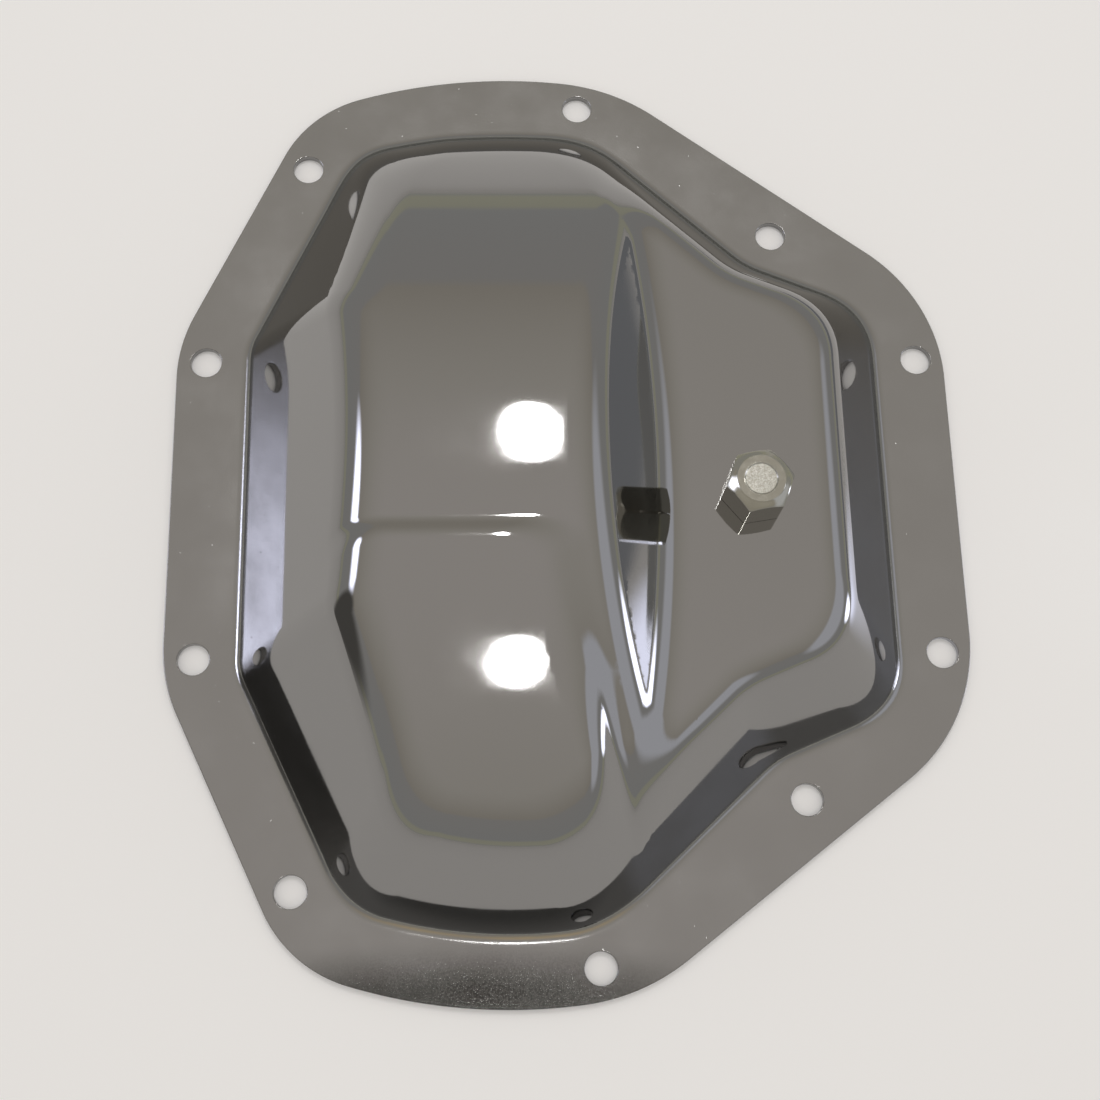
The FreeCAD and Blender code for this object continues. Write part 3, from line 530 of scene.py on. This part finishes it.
@dataclass(frozen=True)
class TurnedSteel:
    """Bare steel from the lathe: grey and satin, with faint uneven patches 5 mm wide."""

    name: str = "turned_steel"
    slot: str = "boss_steel"
    colour: str = "9C9A96"
    roughness: float = 0.34

    def make(self) -> bpy.types.Material:
        """Build the material."""
        recipe = Recipe(self.name)
        patch = recipe.noise(220.0, 4.0)
        rough = recipe.spread(patch, 0.0, 1.0, self.roughness * 0.8, self.roughness * 1.3)
        return recipe.metal(self.colour, rough, recipe.bump(patch, 0.2, 0.0002))


@dataclass(frozen=True)
class WeldScale:
    """Weld metal as it cooled: dark grey under brown and blue heat tints, with grains of spatter."""

    name: str = "weld_scale"
    slot: str = "weld_steel"
    colour: str = "6E6A66"
    tint: str = "5A5B68"
    roughness: float = 0.42

    def make(self) -> bpy.types.Material:
        """Build the material."""
        recipe = Recipe(self.name)
        # heat tints, 5 mm wide, and grains 0.8 mm wide
        heat = recipe.spread(recipe.noise(200.0, 3.0), 0.4, 0.6)
        grain = recipe.noise(1200.0, 3.0)
        rough = recipe.spread(grain, 0.0, 1.0, self.roughness * 0.8, self.roughness * 1.3)
        tone = recipe.mixed(heat, self.colour, self.tint)
        return recipe.metal(tone, rough, recipe.bump(grain, 0.3, 0.0002))


@dataclass
class CoverShell:
    """The pressed and chromed sheet: one closed skin with its holes and sheared edges."""

    form: PressedForm = field(default_factory=PressedForm)
    outline: FlangeOutline = field(default_factory=FlangeOutline)
    finish: ChromePlate = field(default_factory=ChromePlate)
    bolt_radius: float = 5.75
    fill_radius: float = 9.05
    fill_place: Pair = FILL
    bolts: tuple[Pair, ...] = (
        (7.61, 167.07), (82.41, 110.57), (135.7, 57.8), (-135.4, 57.4), (-98.79, 139.55))
    bolt_parts: int = 56
    fill_parts: int = 64
    span_x: Pair = (-148.0, 148.1)
    span_y: Pair = (-181.0, 181.1)
    fine: float = 0.7
    coarse: int = 4
    bends: tuple[tuple[int, float], ...] = ((2, 0.035), (1, 0.075))
    rim_gap: float = 0.9
    hole_gap: float = 0.45
    break_width: float = 0.35
    break_step: float = 0.1

    def holes(self) -> list[tuple[float, float, float, int]]:
        """Centre, radius and number of points of every hole."""
        found = []
        for x, y in self.bolts:
            found.append((x, y, self.bolt_radius, self.bolt_parts))
            found.append((x, -y, self.bolt_radius, self.bolt_parts))
        found.append((*self.fill_place, self.fill_radius, self.fill_parts))
        return found

    @staticmethod
    def circle(x: float, y: float, radius: float, count: int) -> Array:
        """Points of a circle, counter-clockwise."""
        turn = np.linspace(0.0, 2.0 * math.pi, count, endpoint=False)
        return np.stack([x + radius * np.cos(turn), y + radius * np.sin(turn)], axis=1)

    @staticmethod
    def inside(points: Array, loop: Array) -> Array:
        """Whether points lie inside a loop."""
        after = np.roll(loop, -1, axis=0)
        hits = np.zeros(len(points), dtype=int)
        for (x0, y0), (x1, y1) in zip(loop, after):
            if y0 == y1:
                continue
            crosses = (points[:, 1] >= min(y0, y1)) & (points[:, 1] < max(y0, y1))
            at = x0 + (points[:, 1] - y0) * (x1 - x0) / (y1 - y0)
            hits += (crosses & (points[:, 0] < at)).astype(int)
        return hits % 2 == 1

    def scattered(self, rim: Array) -> Array:
        """Points of the plan, closer together where the face bends."""
        across = np.arange(*self.span_x, self.fine)
        along = np.arange(*self.span_y, self.fine)
        x, y = np.meshgrid(across, along, indexing="ij")
        z = self.form.height(x.ravel(), y.ravel(), 0.0)
        normal = self.form.normal(x.ravel(), y.ravel(), z).reshape(*x.shape, 3)
        keep = np.zeros(x.shape, dtype=bool)
        keep[::self.coarse, ::self.coarse] = True
        for stride, limit in self.bends:
            change = np.zeros(x.shape)
            for axis in (0, 1):
                for way in (-2 * stride, 2 * stride):
                    turn = np.linalg.norm(np.roll(normal, way, axis=axis) - normal, axis=2)
                    change = np.maximum(change, turn)
            chosen = np.zeros(x.shape, dtype=bool)
            chosen[::stride, ::stride] = True
            keep |= chosen & (change > limit)
        points = np.stack([x[keep], y[keep]], axis=1)
        points = points[self.inside(points, rim * 0.997)]
        gap = np.full(len(points), np.inf)
        for spot in rim:
            gap = np.minimum(gap, np.hypot(points[:, 0] - spot[0], points[:, 1] - spot[1]))
        points = points[gap > self.rim_gap]
        for cx, cy, radius, _ in self.holes():
            away = np.hypot(points[:, 0] - cx, points[:, 1] - cy)
            points = points[away > radius + self.break_width + self.hole_gap]
        return points

    def build(self) -> bpy.types.Object:
        """Make the closed sheet."""
        offset = self.break_width
        rim = self.outline.loop(offset)
        loops = [rim]
        for x, y, radius, count in self.holes():
            loops.append(self.circle(x, y, radius + offset, count))
        inner = self.scattered(rim)
        plan = np.vstack(loops + [inner])
        edges: list[tuple[int, int]] = []
        starts = []
        start = 0
        for loop in loops:
            starts.append(start)
            edges.extend((start + index, start + (index + 1) % len(loop)) for index in range(len(loop)))
            start += len(loop)
        result = delaunay_2d_cdt([Vector(point) for point in plan], edges, [], 0, 1e-5)
        plan = np.array([(point.x, point.y) for point in result[0]])
        triangles = np.array(result[2])
        sources = {}
        for made, origin in enumerate(result[3]):
            for index in origin:
                sources[index] = made
        middle = plan[triangles].mean(axis=1)
        kept = self.inside(middle, rim)
        for x, y, radius, _ in self.holes():
            kept &= np.hypot(middle[:, 0] - x, middle[:, 1] - y) > (radius + offset) * 0.998
        triangles = triangles[kept]

        mesh = Mesh()
        heights = []
        for depth, way in ((0.0, 1.0), (self.form.sheet, -1.0)):
            z = self.form.height(plan[:, 0], plan[:, 1], depth)
            normals = self.form.normal(plan[:, 0], plan[:, 1], z) * way
            first = mesh.add(np.column_stack([plan, z]), normals)
            order = triangles if way > 0 else triangles[:, ::-1]
            mesh.faces.extend(tuple(int(index) + first for index in face) for face in order)
            heights.append(z)
        for number, loop in enumerate(loops):
            rows = np.array([sources[starts[number] + index] for index in range(len(loop))])
            self.edge(mesh, number, loop, heights[0][rows], heights[1][rows])
        made = mesh.build("pressed_shell")
        made.data.materials.append(self.finish.make())
        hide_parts("cover_shell")
        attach(made, "root")
        return made

    def edge(self, mesh: Mesh, number: int, loop: Array, upper: Array, lower: Array) -> None:
        """Close the sheet along the outline or a hole, with its corners broken.

        Args:
            mesh: mesh that gets the edge.
            number: 0 for the outline, else a hole.
            loop: plan of the face's boundary.
            upper: heights of the outer face along the loop.
            lower: heights of the inner face along the loop.
        """
        count = len(loop)
        wide, near = self.break_width, self.break_step
        if number == 0:
            after, before = np.roll(loop, -1, axis=0), np.roll(loop, 1, axis=0)
            along = after - before
            outward = np.stack([along[:, 1], -along[:, 0]], axis=1)
            outward = outward / np.linalg.norm(outward, axis=1)[:, None]
            rings = {inset: self.outline.loop(inset) for inset in (near, 0.0)}
        else:
            x, y, radius, _ = self.holes()[number - 1]
            outward = -(loop - np.array([x, y]))
            outward = outward / np.linalg.norm(outward, axis=1)[:, None]
            rings = {inset: self.circle(x, y, radius + inset, count) for inset in (near, 0.0)}
        # inset, height, and the outward and upward parts of the normal
        steps = (
            (wide, upper, 0.0, 1.0), (near, upper - near, 0.7, 0.7), (0.0, upper - wide, 1.0, 0.15),
            (0.0, lower + wide, 1.0, -0.15), (near, lower + near, 0.7, -0.7), (wide, lower, 0.0, -1.0))
        previous = None
        for inset, height, flat, rise in steps:
            plan = loop if inset == wide else rings[inset]
            normals = np.column_stack([outward * flat, np.full(count, rise)])
            normals = normals / np.linalg.norm(normals, axis=1)[:, None]
            ring = mesh.add(np.column_stack([plan, height]), normals)
            if previous is not None:
                mesh.strip(previous, ring, count, flip=number == 0)
            previous = ring


def turned(name: str, rows: list[list[Pair]], place: Triple,
           crease: float, closed: bool = False) -> bpy.types.Object:
    """Close a skin over rings of points about an upright axis.

    Args:
        name: the object's name.
        rows: rings from the top outwards and down; each has a radius and a height for every part,
            in millimetres. A ring that starts with radius 0 is one point on the axis.
        place: axis and zero height, in millimetres.
        crease: turn between two faces from which their edge is sharp, in degrees.
        closed: whether the last ring joins the first.

    Returns:
        The new object.
    """
    parts = len(rows[0])
    points: list[Triple] = []
    numbers: list[list[int]] = []
    for row in rows:
        if row[0][0] == 0.0:
            numbers.append([len(points)] * parts)
            points.append((place[0], place[1], place[2] + row[0][1]))
            continue
        numbers.append(list(range(len(points), len(points) + parts)))
        for part, (radius, height) in enumerate(row):
            turn = 2 * math.pi * part / parts
            x, y = radius * math.cos(turn), radius * math.sin(turn)
            points.append((place[0] + x, place[1] + y, place[2] + height))
    pairs = list(zip(numbers, numbers[1:]))
    if closed:
        pairs.append((numbers[-1], numbers[0]))
    faces = []
    for upper, lower in pairs:
        for part in range(parts):
            after = (part + 1) % parts
            face = tuple(dict.fromkeys([upper[part], lower[part], lower[after], upper[after]]))
            if len(face) > 2:
                faces.append(face)
    data = bpy.data.meshes.new(name)
    data.from_pydata([tuple(value * MM for value in point) for point in points], [], faces)
    data.polygons.foreach_set("use_smooth", [True] * len(data.polygons))
    data.update()
    data.set_sharp_from_angle(angle=math.radians(crease))
    return placed(name, data)


@dataclass
class FillBoss:
    """Turned boss behind the fill hole, bored for the plug's thread."""

    axis: Pair = FILL
    top: float = 44.0
    side: float = 14.0
    bore: float = 8.7
    length: float = 11.0
    mouth: float = 1.0
    edge: float = 0.4
    parts: int = 96
    crease: float = 28.0
    finish: TurnedSteel = field(default_factory=TurnedSteel)

    def build(self) -> bpy.types.Object:
        """Make the boss."""
        end = -self.length
        profile = (
            (self.bore, 0.0), (self.side, 0.0), (self.side, end + self.edge), (self.side - self.edge, end),
            (self.bore + self.mouth, end), (self.bore, end + self.mouth))
        rows = [[corner] * self.parts for corner in profile]
        made = turned("threaded_boss", rows, (*self.axis, self.top), self.crease, closed=True)
        made.data.materials.append(self.finish.make())
        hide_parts("fill_boss")
        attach(made, "root")
        return made


@dataclass
class BossWeld:
    """Weld bead in the corner between the boss and the sheet, laid in overlapping ripples."""

    axis: Pair = FILL
    top: float = 44.0
    side: float = 14.0
    leg: float = 3.5
    ripples: int = 34
    ripple_depth: float = 0.35
    bow: float = 0.45
    slant: float = 0.707
    parts: int = 408
    rings: int = 10
    crease: float = 28.0
    finish: WeldScale = field(default_factory=WeldScale)

    def tree(self) -> bpy.types.NodeTree:
        """Build the tree that presses the ripples into a plain ring."""
        tree = bpy.data.node_groups.new("weld_ripples", "GeometryNodeTree")
        for name, kind in (
                ("Geometry", "Geometry"), ("Corner", "Vector"), ("Side", "Float"), ("Leg", "Float"),
                ("Ripples", "Float"), ("Depth", "Float"), ("Bow", "Float"), ("Material", "Material")):
            tree.interface.new_socket(name, in_out="INPUT", socket_type=f"NodeSocket{kind}")
        tree.interface.new_socket("Geometry", in_out="OUTPUT", socket_type="NodeSocketGeometry")
        given = node(tree, "NodeGroupInput").outputs
        sums = partial(reckon, tree)
        position = node(tree, "GeometryNodeInputPosition").outputs["Position"]
        spot = node(tree, "ShaderNodeVectorMath", {0: position, 1: given["Corner"]}, operation="SUBTRACT")
        parts = node(tree, "ShaderNodeSeparateXYZ", {"Vector": spot.outputs["Vector"]}).outputs
        x, y, z = parts["X"], parts["Y"], parts["Z"]
        reach = sums("SQRT", sums("ADD", sums("MULTIPLY", x, x), sums("MULTIPLY", y, y)))
        turn = sums("DIVIDE", sums("ARCTAN2", y, x), 2 * math.pi)
        outward = sums("DIVIDE", sums("SUBTRACT", reach, given["Side"]), given["Leg"])
        downward = sums("DIVIDE", sums("MULTIPLY", z, -1.0), given["Leg"])
        # each ripple bows forward in the middle of the bead
        lead = sums("MULTIPLY", sums("MULTIPLY", outward, downward), sums("MULTIPLY", given["Bow"], 4.0))
        phase = sums("FRACT", sums("ADD", sums("MULTIPLY", turn, given["Ripples"]), lead))
        dip = sums("POWER", sums("ABSOLUTE", sums("MULTIPLY_ADD", phase, 2.0, -1.0)), 2.0)
        # the two edges of the bead stay on the boss and the sheet
        free = sums("MINIMUM", sums("MULTIPLY", sums("MINIMUM", outward, downward), 3.0), 1.0)
        push = sums("MULTIPLY", sums("MULTIPLY", dip, free), given["Depth"])
        inward = sums("DIVIDE", sums("MULTIPLY", push, -self.slant), reach)
        offset = node(tree, "ShaderNodeCombineXYZ", {
            "X": sums("MULTIPLY", inward, x), "Y": sums("MULTIPLY", inward, y),
            "Z": sums("MULTIPLY", push, self.slant)})
        moved = node(tree, "GeometryNodeSetPosition", {
            "Geometry": given["Geometry"], "Offset": offset.outputs["Vector"]})
        coated = node(tree, "GeometryNodeSetMaterial", {
            "Geometry": moved.outputs["Geometry"], "Material": given["Material"]})
        plain = node(tree, "GeometryNodeRealizeInstances", {"Geometry": coated.outputs["Geometry"]})
        node(tree, "NodeGroupOutput", {"Geometry": plain.outputs["Geometry"]})
        return tree

    def build(self) -> bpy.types.Object:
        """Make the bead: a plain ring, then its ripples."""
        profile = [(self.side, 0.0)]
        for ring in range(self.rings + 1):
            share = ring / self.rings
            profile.append((self.side + self.leg * (1 - share), -self.leg * share))
        rows = [[corner] * self.parts for corner in profile]
        made = turned("weld_bead", rows, (*self.axis, self.top), self.crease, closed=True)
        tree = self.tree()
        ripples = made.modifiers.new("ripples", "NODES")
        ripples.node_group = tree
        corner = tuple(value * MM for value in (*self.axis, self.top))
        values = {
            "Corner": corner, "Side": self.side * MM, "Leg": self.leg * MM, "Ripples": float(self.ripples),
            "Depth": self.ripple_depth * MM, "Bow": self.bow, "Material": self.finish.make()}
        for item in tree.interface.items_tree:
            if item.in_out == "INPUT" and item.name in values:
                ripples[item.identifier] = values[item.name]
        graph = bpy.context.evaluated_depsgraph_get()
        plain = bpy.data.meshes.new_from_object(made.evaluated_get(graph))
        made.modifiers.remove(ripples)
        made.data = plain
        plain.name = "weld_bead"
        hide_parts("boss_weld")
        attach(made, "root")
        return made


class Camera:
    """Camera at the photograph's viewing angle, found from the ten bolt holes."""

    place = (-33.25, -187.83, 568.16)
    turn = (-16.77, -2.47, -0.83)
    focal = 1605.8 / 1100.0
    sensor = 36.0
    near = 10.0

    def build(self) -> None:
        """Make the camera and set it as the scene's."""
        vector = Vector([math.radians(value) for value in self.turn])
        spin = Matrix.Rotation(vector.length, 3, vector.normalized())
        rows = spin @ Matrix(((1, 0, 0), (0, -1, 0), (0, 0, -1)))
        axes = Matrix((rows[0], -rows[1], -rows[2])).transposed()
        data = bpy.data.cameras.new("camera")
        data.sensor_width = self.sensor
        data.lens = self.sensor * self.focal
        data.clip_start = self.near * MM
        made = placed("camera", data)
        made.matrix_world = Matrix.Translation(Vector(self.place) * MM) @ axes.to_4x4()
        bpy.context.scene.camera = made


def sheet_of(name: str, corners: list[Vector], material: bpy.types.Material) -> bpy.types.Object:
    """Make a flat sheet with four corners and a material."""
    data = bpy.data.meshes.new(name)
    data.from_pydata([tuple(corner) for corner in corners], [], [(0, 1, 2, 3)])
    data.materials.append(material)
    return placed(name, data)


class Facing(Enum):
    """Plane that a card lies in: its two directions across."""

    LEVEL = ((1.0, 0.0, 0.0), (0.0, 1.0, 0.0))
    SIDE = ((0.0, 1.0, 0.0), (0.0, 0.0, 1.0))


@dataclass(frozen=True)
class SoftCard:
    """Oval card with a soft rim, clear of the camera's view, which the chrome mirrors.

    Its place and half sizes are in millimetres.
    """

    name: str
    colour: str
    strength: float
    centre: Triple
    reach: Pair
    facing: Facing = Facing.LEVEL
    core: float = 0.5

    def build(self) -> bpy.types.Object:
        """Make the card: full inside its core, clear at its rim."""
        recipe = Recipe(self.name)
        middle = Vector(self.centre) * MM
        first, second = (Vector(axis) for axis in self.facing.value)
        wide, high = self.reach[0] * MM, self.reach[1] * MM
        away = recipe.away(middle, first / wide + second / high)
        fade = recipe.spread(away, self.core, 1.0, 1.0, 0.0, smooth=True)
        clear = node(recipe.tree, "ShaderNodeBsdfTransparent")
        glow = node(recipe.tree, "ShaderNodeEmission", {
            "Color": linear(self.colour), "Strength": self.strength})
        mixed = node(recipe.tree, "ShaderNodeMixShader", {
            0: fade, 1: clear.outputs["BSDF"], 2: glow.outputs["Emission"]})
        corners = [middle + first * (a * wide) + second * (b * high)
                   for a, b in ((-1, -1), (1, -1), (1, 1), (-1, 1))]
        made = sheet_of(self.name, corners, recipe.close(mixed.outputs["Shader"]))
        made.visible_camera = False
        made.visible_diffuse = False
        made.visible_shadow = False
        return made


@dataclass(frozen=True)
class Lamp:
    """Soft oval lamp over the object, in millimetres and watts."""

    name: str
    centre: Triple
    size: Pair
    power: float

    def build(self) -> None:
        """Make the lamp, facing down."""
        data = bpy.data.lights.new(self.name, "AREA")
        data.shape = "ELLIPSE"
        data.size, data.size_y = self.size[0] * MM, self.size[1] * MM
        data.energy = self.power
        placed(self.name, data).location = Vector(self.centre) * MM


@dataclass
class Studio:
    """Pale floor and a soft room: a warm ceiling, a grey band below it and an olive horizon."""

    floor_colour: str = "F0F0F2"
    floor_glow: str = "FFFFFF"
    floor_lift: float = 0.08
    floor_reach: float = 6000.0
    floor_drop: float = 0.2
    wall_colour: str = "DCDAD7"
    sky: tuple[tuple[float, str], ...] = (
        (0.0, "C6C6BF"), (0.02, "CFCEBA"), (0.085, "CDCCB9"), (0.11, "BFBFBD"),
        (0.49, "C2C0BD"), (0.525, "C8C2B7"), (0.83, "DCD7CE"), (1.0, "E7E1DB"))
    lamps: tuple[Lamp, ...] = (
        Lamp("upper_lamp", (24.0, 453.0, 1200.0), (62.0, 330.0), 1.9),
        Lamp("lower_lamp", (8.0, -417.0, 1200.0), (52.0, 150.0), 0.9),
    )
    cards: tuple[SoftCard, ...] = (
        SoftCard("right_window", "E6EAFF", 8.0, (1500.0, -60.0, 190.0), (270.0, 210.0), Facing.SIDE, 0.4),
        SoftCard("right_glow", "ECEEF6", 1.1, (1500.0, -300.0, 1000.0), (1500.0, 560.0), Facing.SIDE, 0.6),
        SoftCard("left_window", "E4E8FF", 9.5, (-1250.0, 236.0, 850.0), (520.0, 290.0), Facing.SIDE, 0.2),
        SoftCard("dark_corner", "6E6C68", 1.0, (-600.0, -165.0, 200.0), (150.0, 300.0), Facing.SIDE, 0.6),
        SoftCard("dark_floor", "9B9DA1", 1.0, (790.0, 330.0, -0.1), (620.0, 330.0), Facing.LEVEL, 0.88),
        SoftCard("bright_floor", "E6EAFF", 3.2, (400.0, -22.0, -0.1), (330.0, 78.0), Facing.LEVEL, 0.3),
    )

    def floor(self) -> None:
        """Make the pale floor just under the gasket face."""
        recipe = Recipe("pale_floor")
        grain = recipe.bump(recipe.noise(900.0, 3.0), 0.1, 0.0001)
        # seen by the eye and in the metal, the floor is a little brighter than the room's light makes it
        path = node(recipe.tree, "ShaderNodeLightPath").outputs
        seen = recipe.sums("MAXIMUM", path["Is Camera Ray"], path["Is Glossy Ray"])
        shader = node(recipe.tree, "ShaderNodeBsdfPrincipled", {
            "Base Color": linear(self.floor_colour), "Roughness": 0.9, "Specular IOR Level": 0.1,
            "Normal": grain, "Emission Color": linear(self.floor_glow),
            "Emission Strength": recipe.sums("MULTIPLY", seen, self.floor_lift)})
        reach = self.floor_reach
        corners = [Vector((x, y, -self.floor_drop)) * MM
                   for x, y in ((-reach, -reach), (reach, -reach), (reach, reach), (-reach, reach))]
        made = sheet_of("floor", corners, recipe.close(shader.outputs["BSDF"]))

    def room(self) -> None:
        """Set the world: colours by height above the horizon."""
        world = bpy.data.worlds.new("room")
        world.use_nodes = True
        tree = world.node_tree
        tree.nodes.clear()
        place = node(tree, "ShaderNodeTexCoord")
        level = node(tree, "ShaderNodeSeparateXYZ", {"Vector": place.outputs["Generated"]})
        ramp = node(tree, "ShaderNodeValToRGB", {"Fac": level.outputs["Z"]})
        elements = ramp.color_ramp.elements
        for index, (at, colour) in enumerate(self.sky):
            stop = elements[index] if index < 2 else elements.new(at)
            stop.position, stop.color = at, linear(colour)
        glow = node(tree, "ShaderNodeBackground", {"Color": ramp.outputs["Color"], "Strength": 1.0})
        # the eye sees a plain pale wall behind the floor
        wall = node(tree, "ShaderNodeBackground", {"Color": linear(self.wall_colour), "Strength": 1.0})
        path = node(tree, "ShaderNodeLightPath")
        seen = node(tree, "ShaderNodeMixShader", {
            0: path.outputs["Is Camera Ray"], 1: glow.outputs["Background"], 2: wall.outputs["Background"]})
        node(tree, "ShaderNodeOutputWorld", {"Surface": seen.outputs["Shader"]})
        bpy.context.scene.world = world

    def build(self) -> None:
        """Make the whole stage."""
        bpy.context.scene.view_settings.view_transform = "Standard"
        self.floor()
        self.room()
        for piece in self.lamps + self.cards:
            piece.build()


@dataclass
class FillPlug:
    """Hex head plug: hexagon, turned chamfer, round mark in its face, threaded shank."""

    axis: Pair = FILL
    seat: float = 47.0
    flats: float = 20.6
    corner: float = 0.12
    height: float = 15.5
    turn: float = 9.0
    top: float = 8.7
    face: float = 8.2
    mark: float = 5.7
    sink: float = 0.4
    chamfer: float = 41.0
    foot: float = 0.25
    thread: float = 8.55
    start: float = 1.0
    pitch: float = 1.41
    depth: float = 0.7
    length: float = 17.0
    tip: float = 1.5
    parts: int = 240
    steps: int = 8
    crease: float = 22.0
    finish: ZincPlate = field(default_factory=ZincPlate)

    def hexagon(self, angle: float) -> float:
        """Reach of the hexagon's side at an angle, in radians, with its edges a little round."""
        step = math.pi / 3
        local = (angle - math.radians(self.turn + 30) + step / 2) % step - step / 2
        flat = self.flats / 2 / math.cos(local)
        return min(flat, self.flats / math.sqrt(3) - self.corner)

    def head(self) -> list[list[Pair]]:
        """Rings of the head: sunk mark, face, chamfer and flats, down to the seat."""
        slope = math.tan(math.radians(self.chamfer))
        rows = [[(radius, self.height + level)] * self.parts for radius, level in (
            (0.0, -self.sink), (self.mark - self.sink, -self.sink), (self.mark, 0.0), (self.face, 0.0),
            (self.top, -self.sink))]
        edge = [self.hexagon(2 * math.pi * part / self.parts) for part in range(self.parts)]
        for share in (0.5, 1.0):
            run = [(reach - self.top) * share for reach in edge]
            rows.append([(self.top + step, self.height - step * slope) for step in run])
        rows.append([(reach, self.foot) for reach in edge])
        rows.append([(reach - self.foot, 0.0) for reach in edge])
        return rows

    def shank(self) -> list[list[Pair]]:
        """Rings of the shank: neck, thread that runs in and out, and tapered tip."""
        root = self.thread - self.depth
        grooves = int((self.length - 2 * self.start) / self.pitch)
        rows = [[(root, 0.0)] * self.parts]
        for step in range(grooves * self.steps + 1):
            z = -self.start - self.pitch * step / self.steps
            fade = min(1.0, (step + 1) / self.steps, (grooves * self.steps - step + 1) / self.steps)
            row = []
            for part in range(self.parts):
                ridge = 1.0 - abs((z / self.pitch + part / self.parts) % 1.0 * 2 - 1)
                row.append((self.thread - self.depth * (1 - ridge * fade), z))
            rows.append(row)
        last = -self.start - self.pitch * grooves
        for radius, z in ((root, last - 0.2), (self.thread - self.tip, -self.length), (0.0, -self.length)):
            rows.append([(radius, z)] * self.parts)
        return rows

    def build(self) -> bpy.types.Object:
        """Make the plug as one closed turned and milled shape."""
        made = turned("hex_plug", self.head() + self.shank(), (*self.axis, self.seat), self.crease)
        made.data.materials.append(self.finish.make())
        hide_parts("fill_plug")
        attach(made, "root")
        return made


def main() -> None:
    """Build the stage, the camera and every piece, in order."""
    logging.basicConfig(level=logging.INFO)
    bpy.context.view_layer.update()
    Camera().build()
    Studio().build()
    for builder in (CoverShell(), FillBoss(), BossWeld(), FillPlug()):
        made = builder.build()
        LOG.info("%s: %d faces", made.name, len(made.data.polygons))


if __name__ == "__main__":
    main()
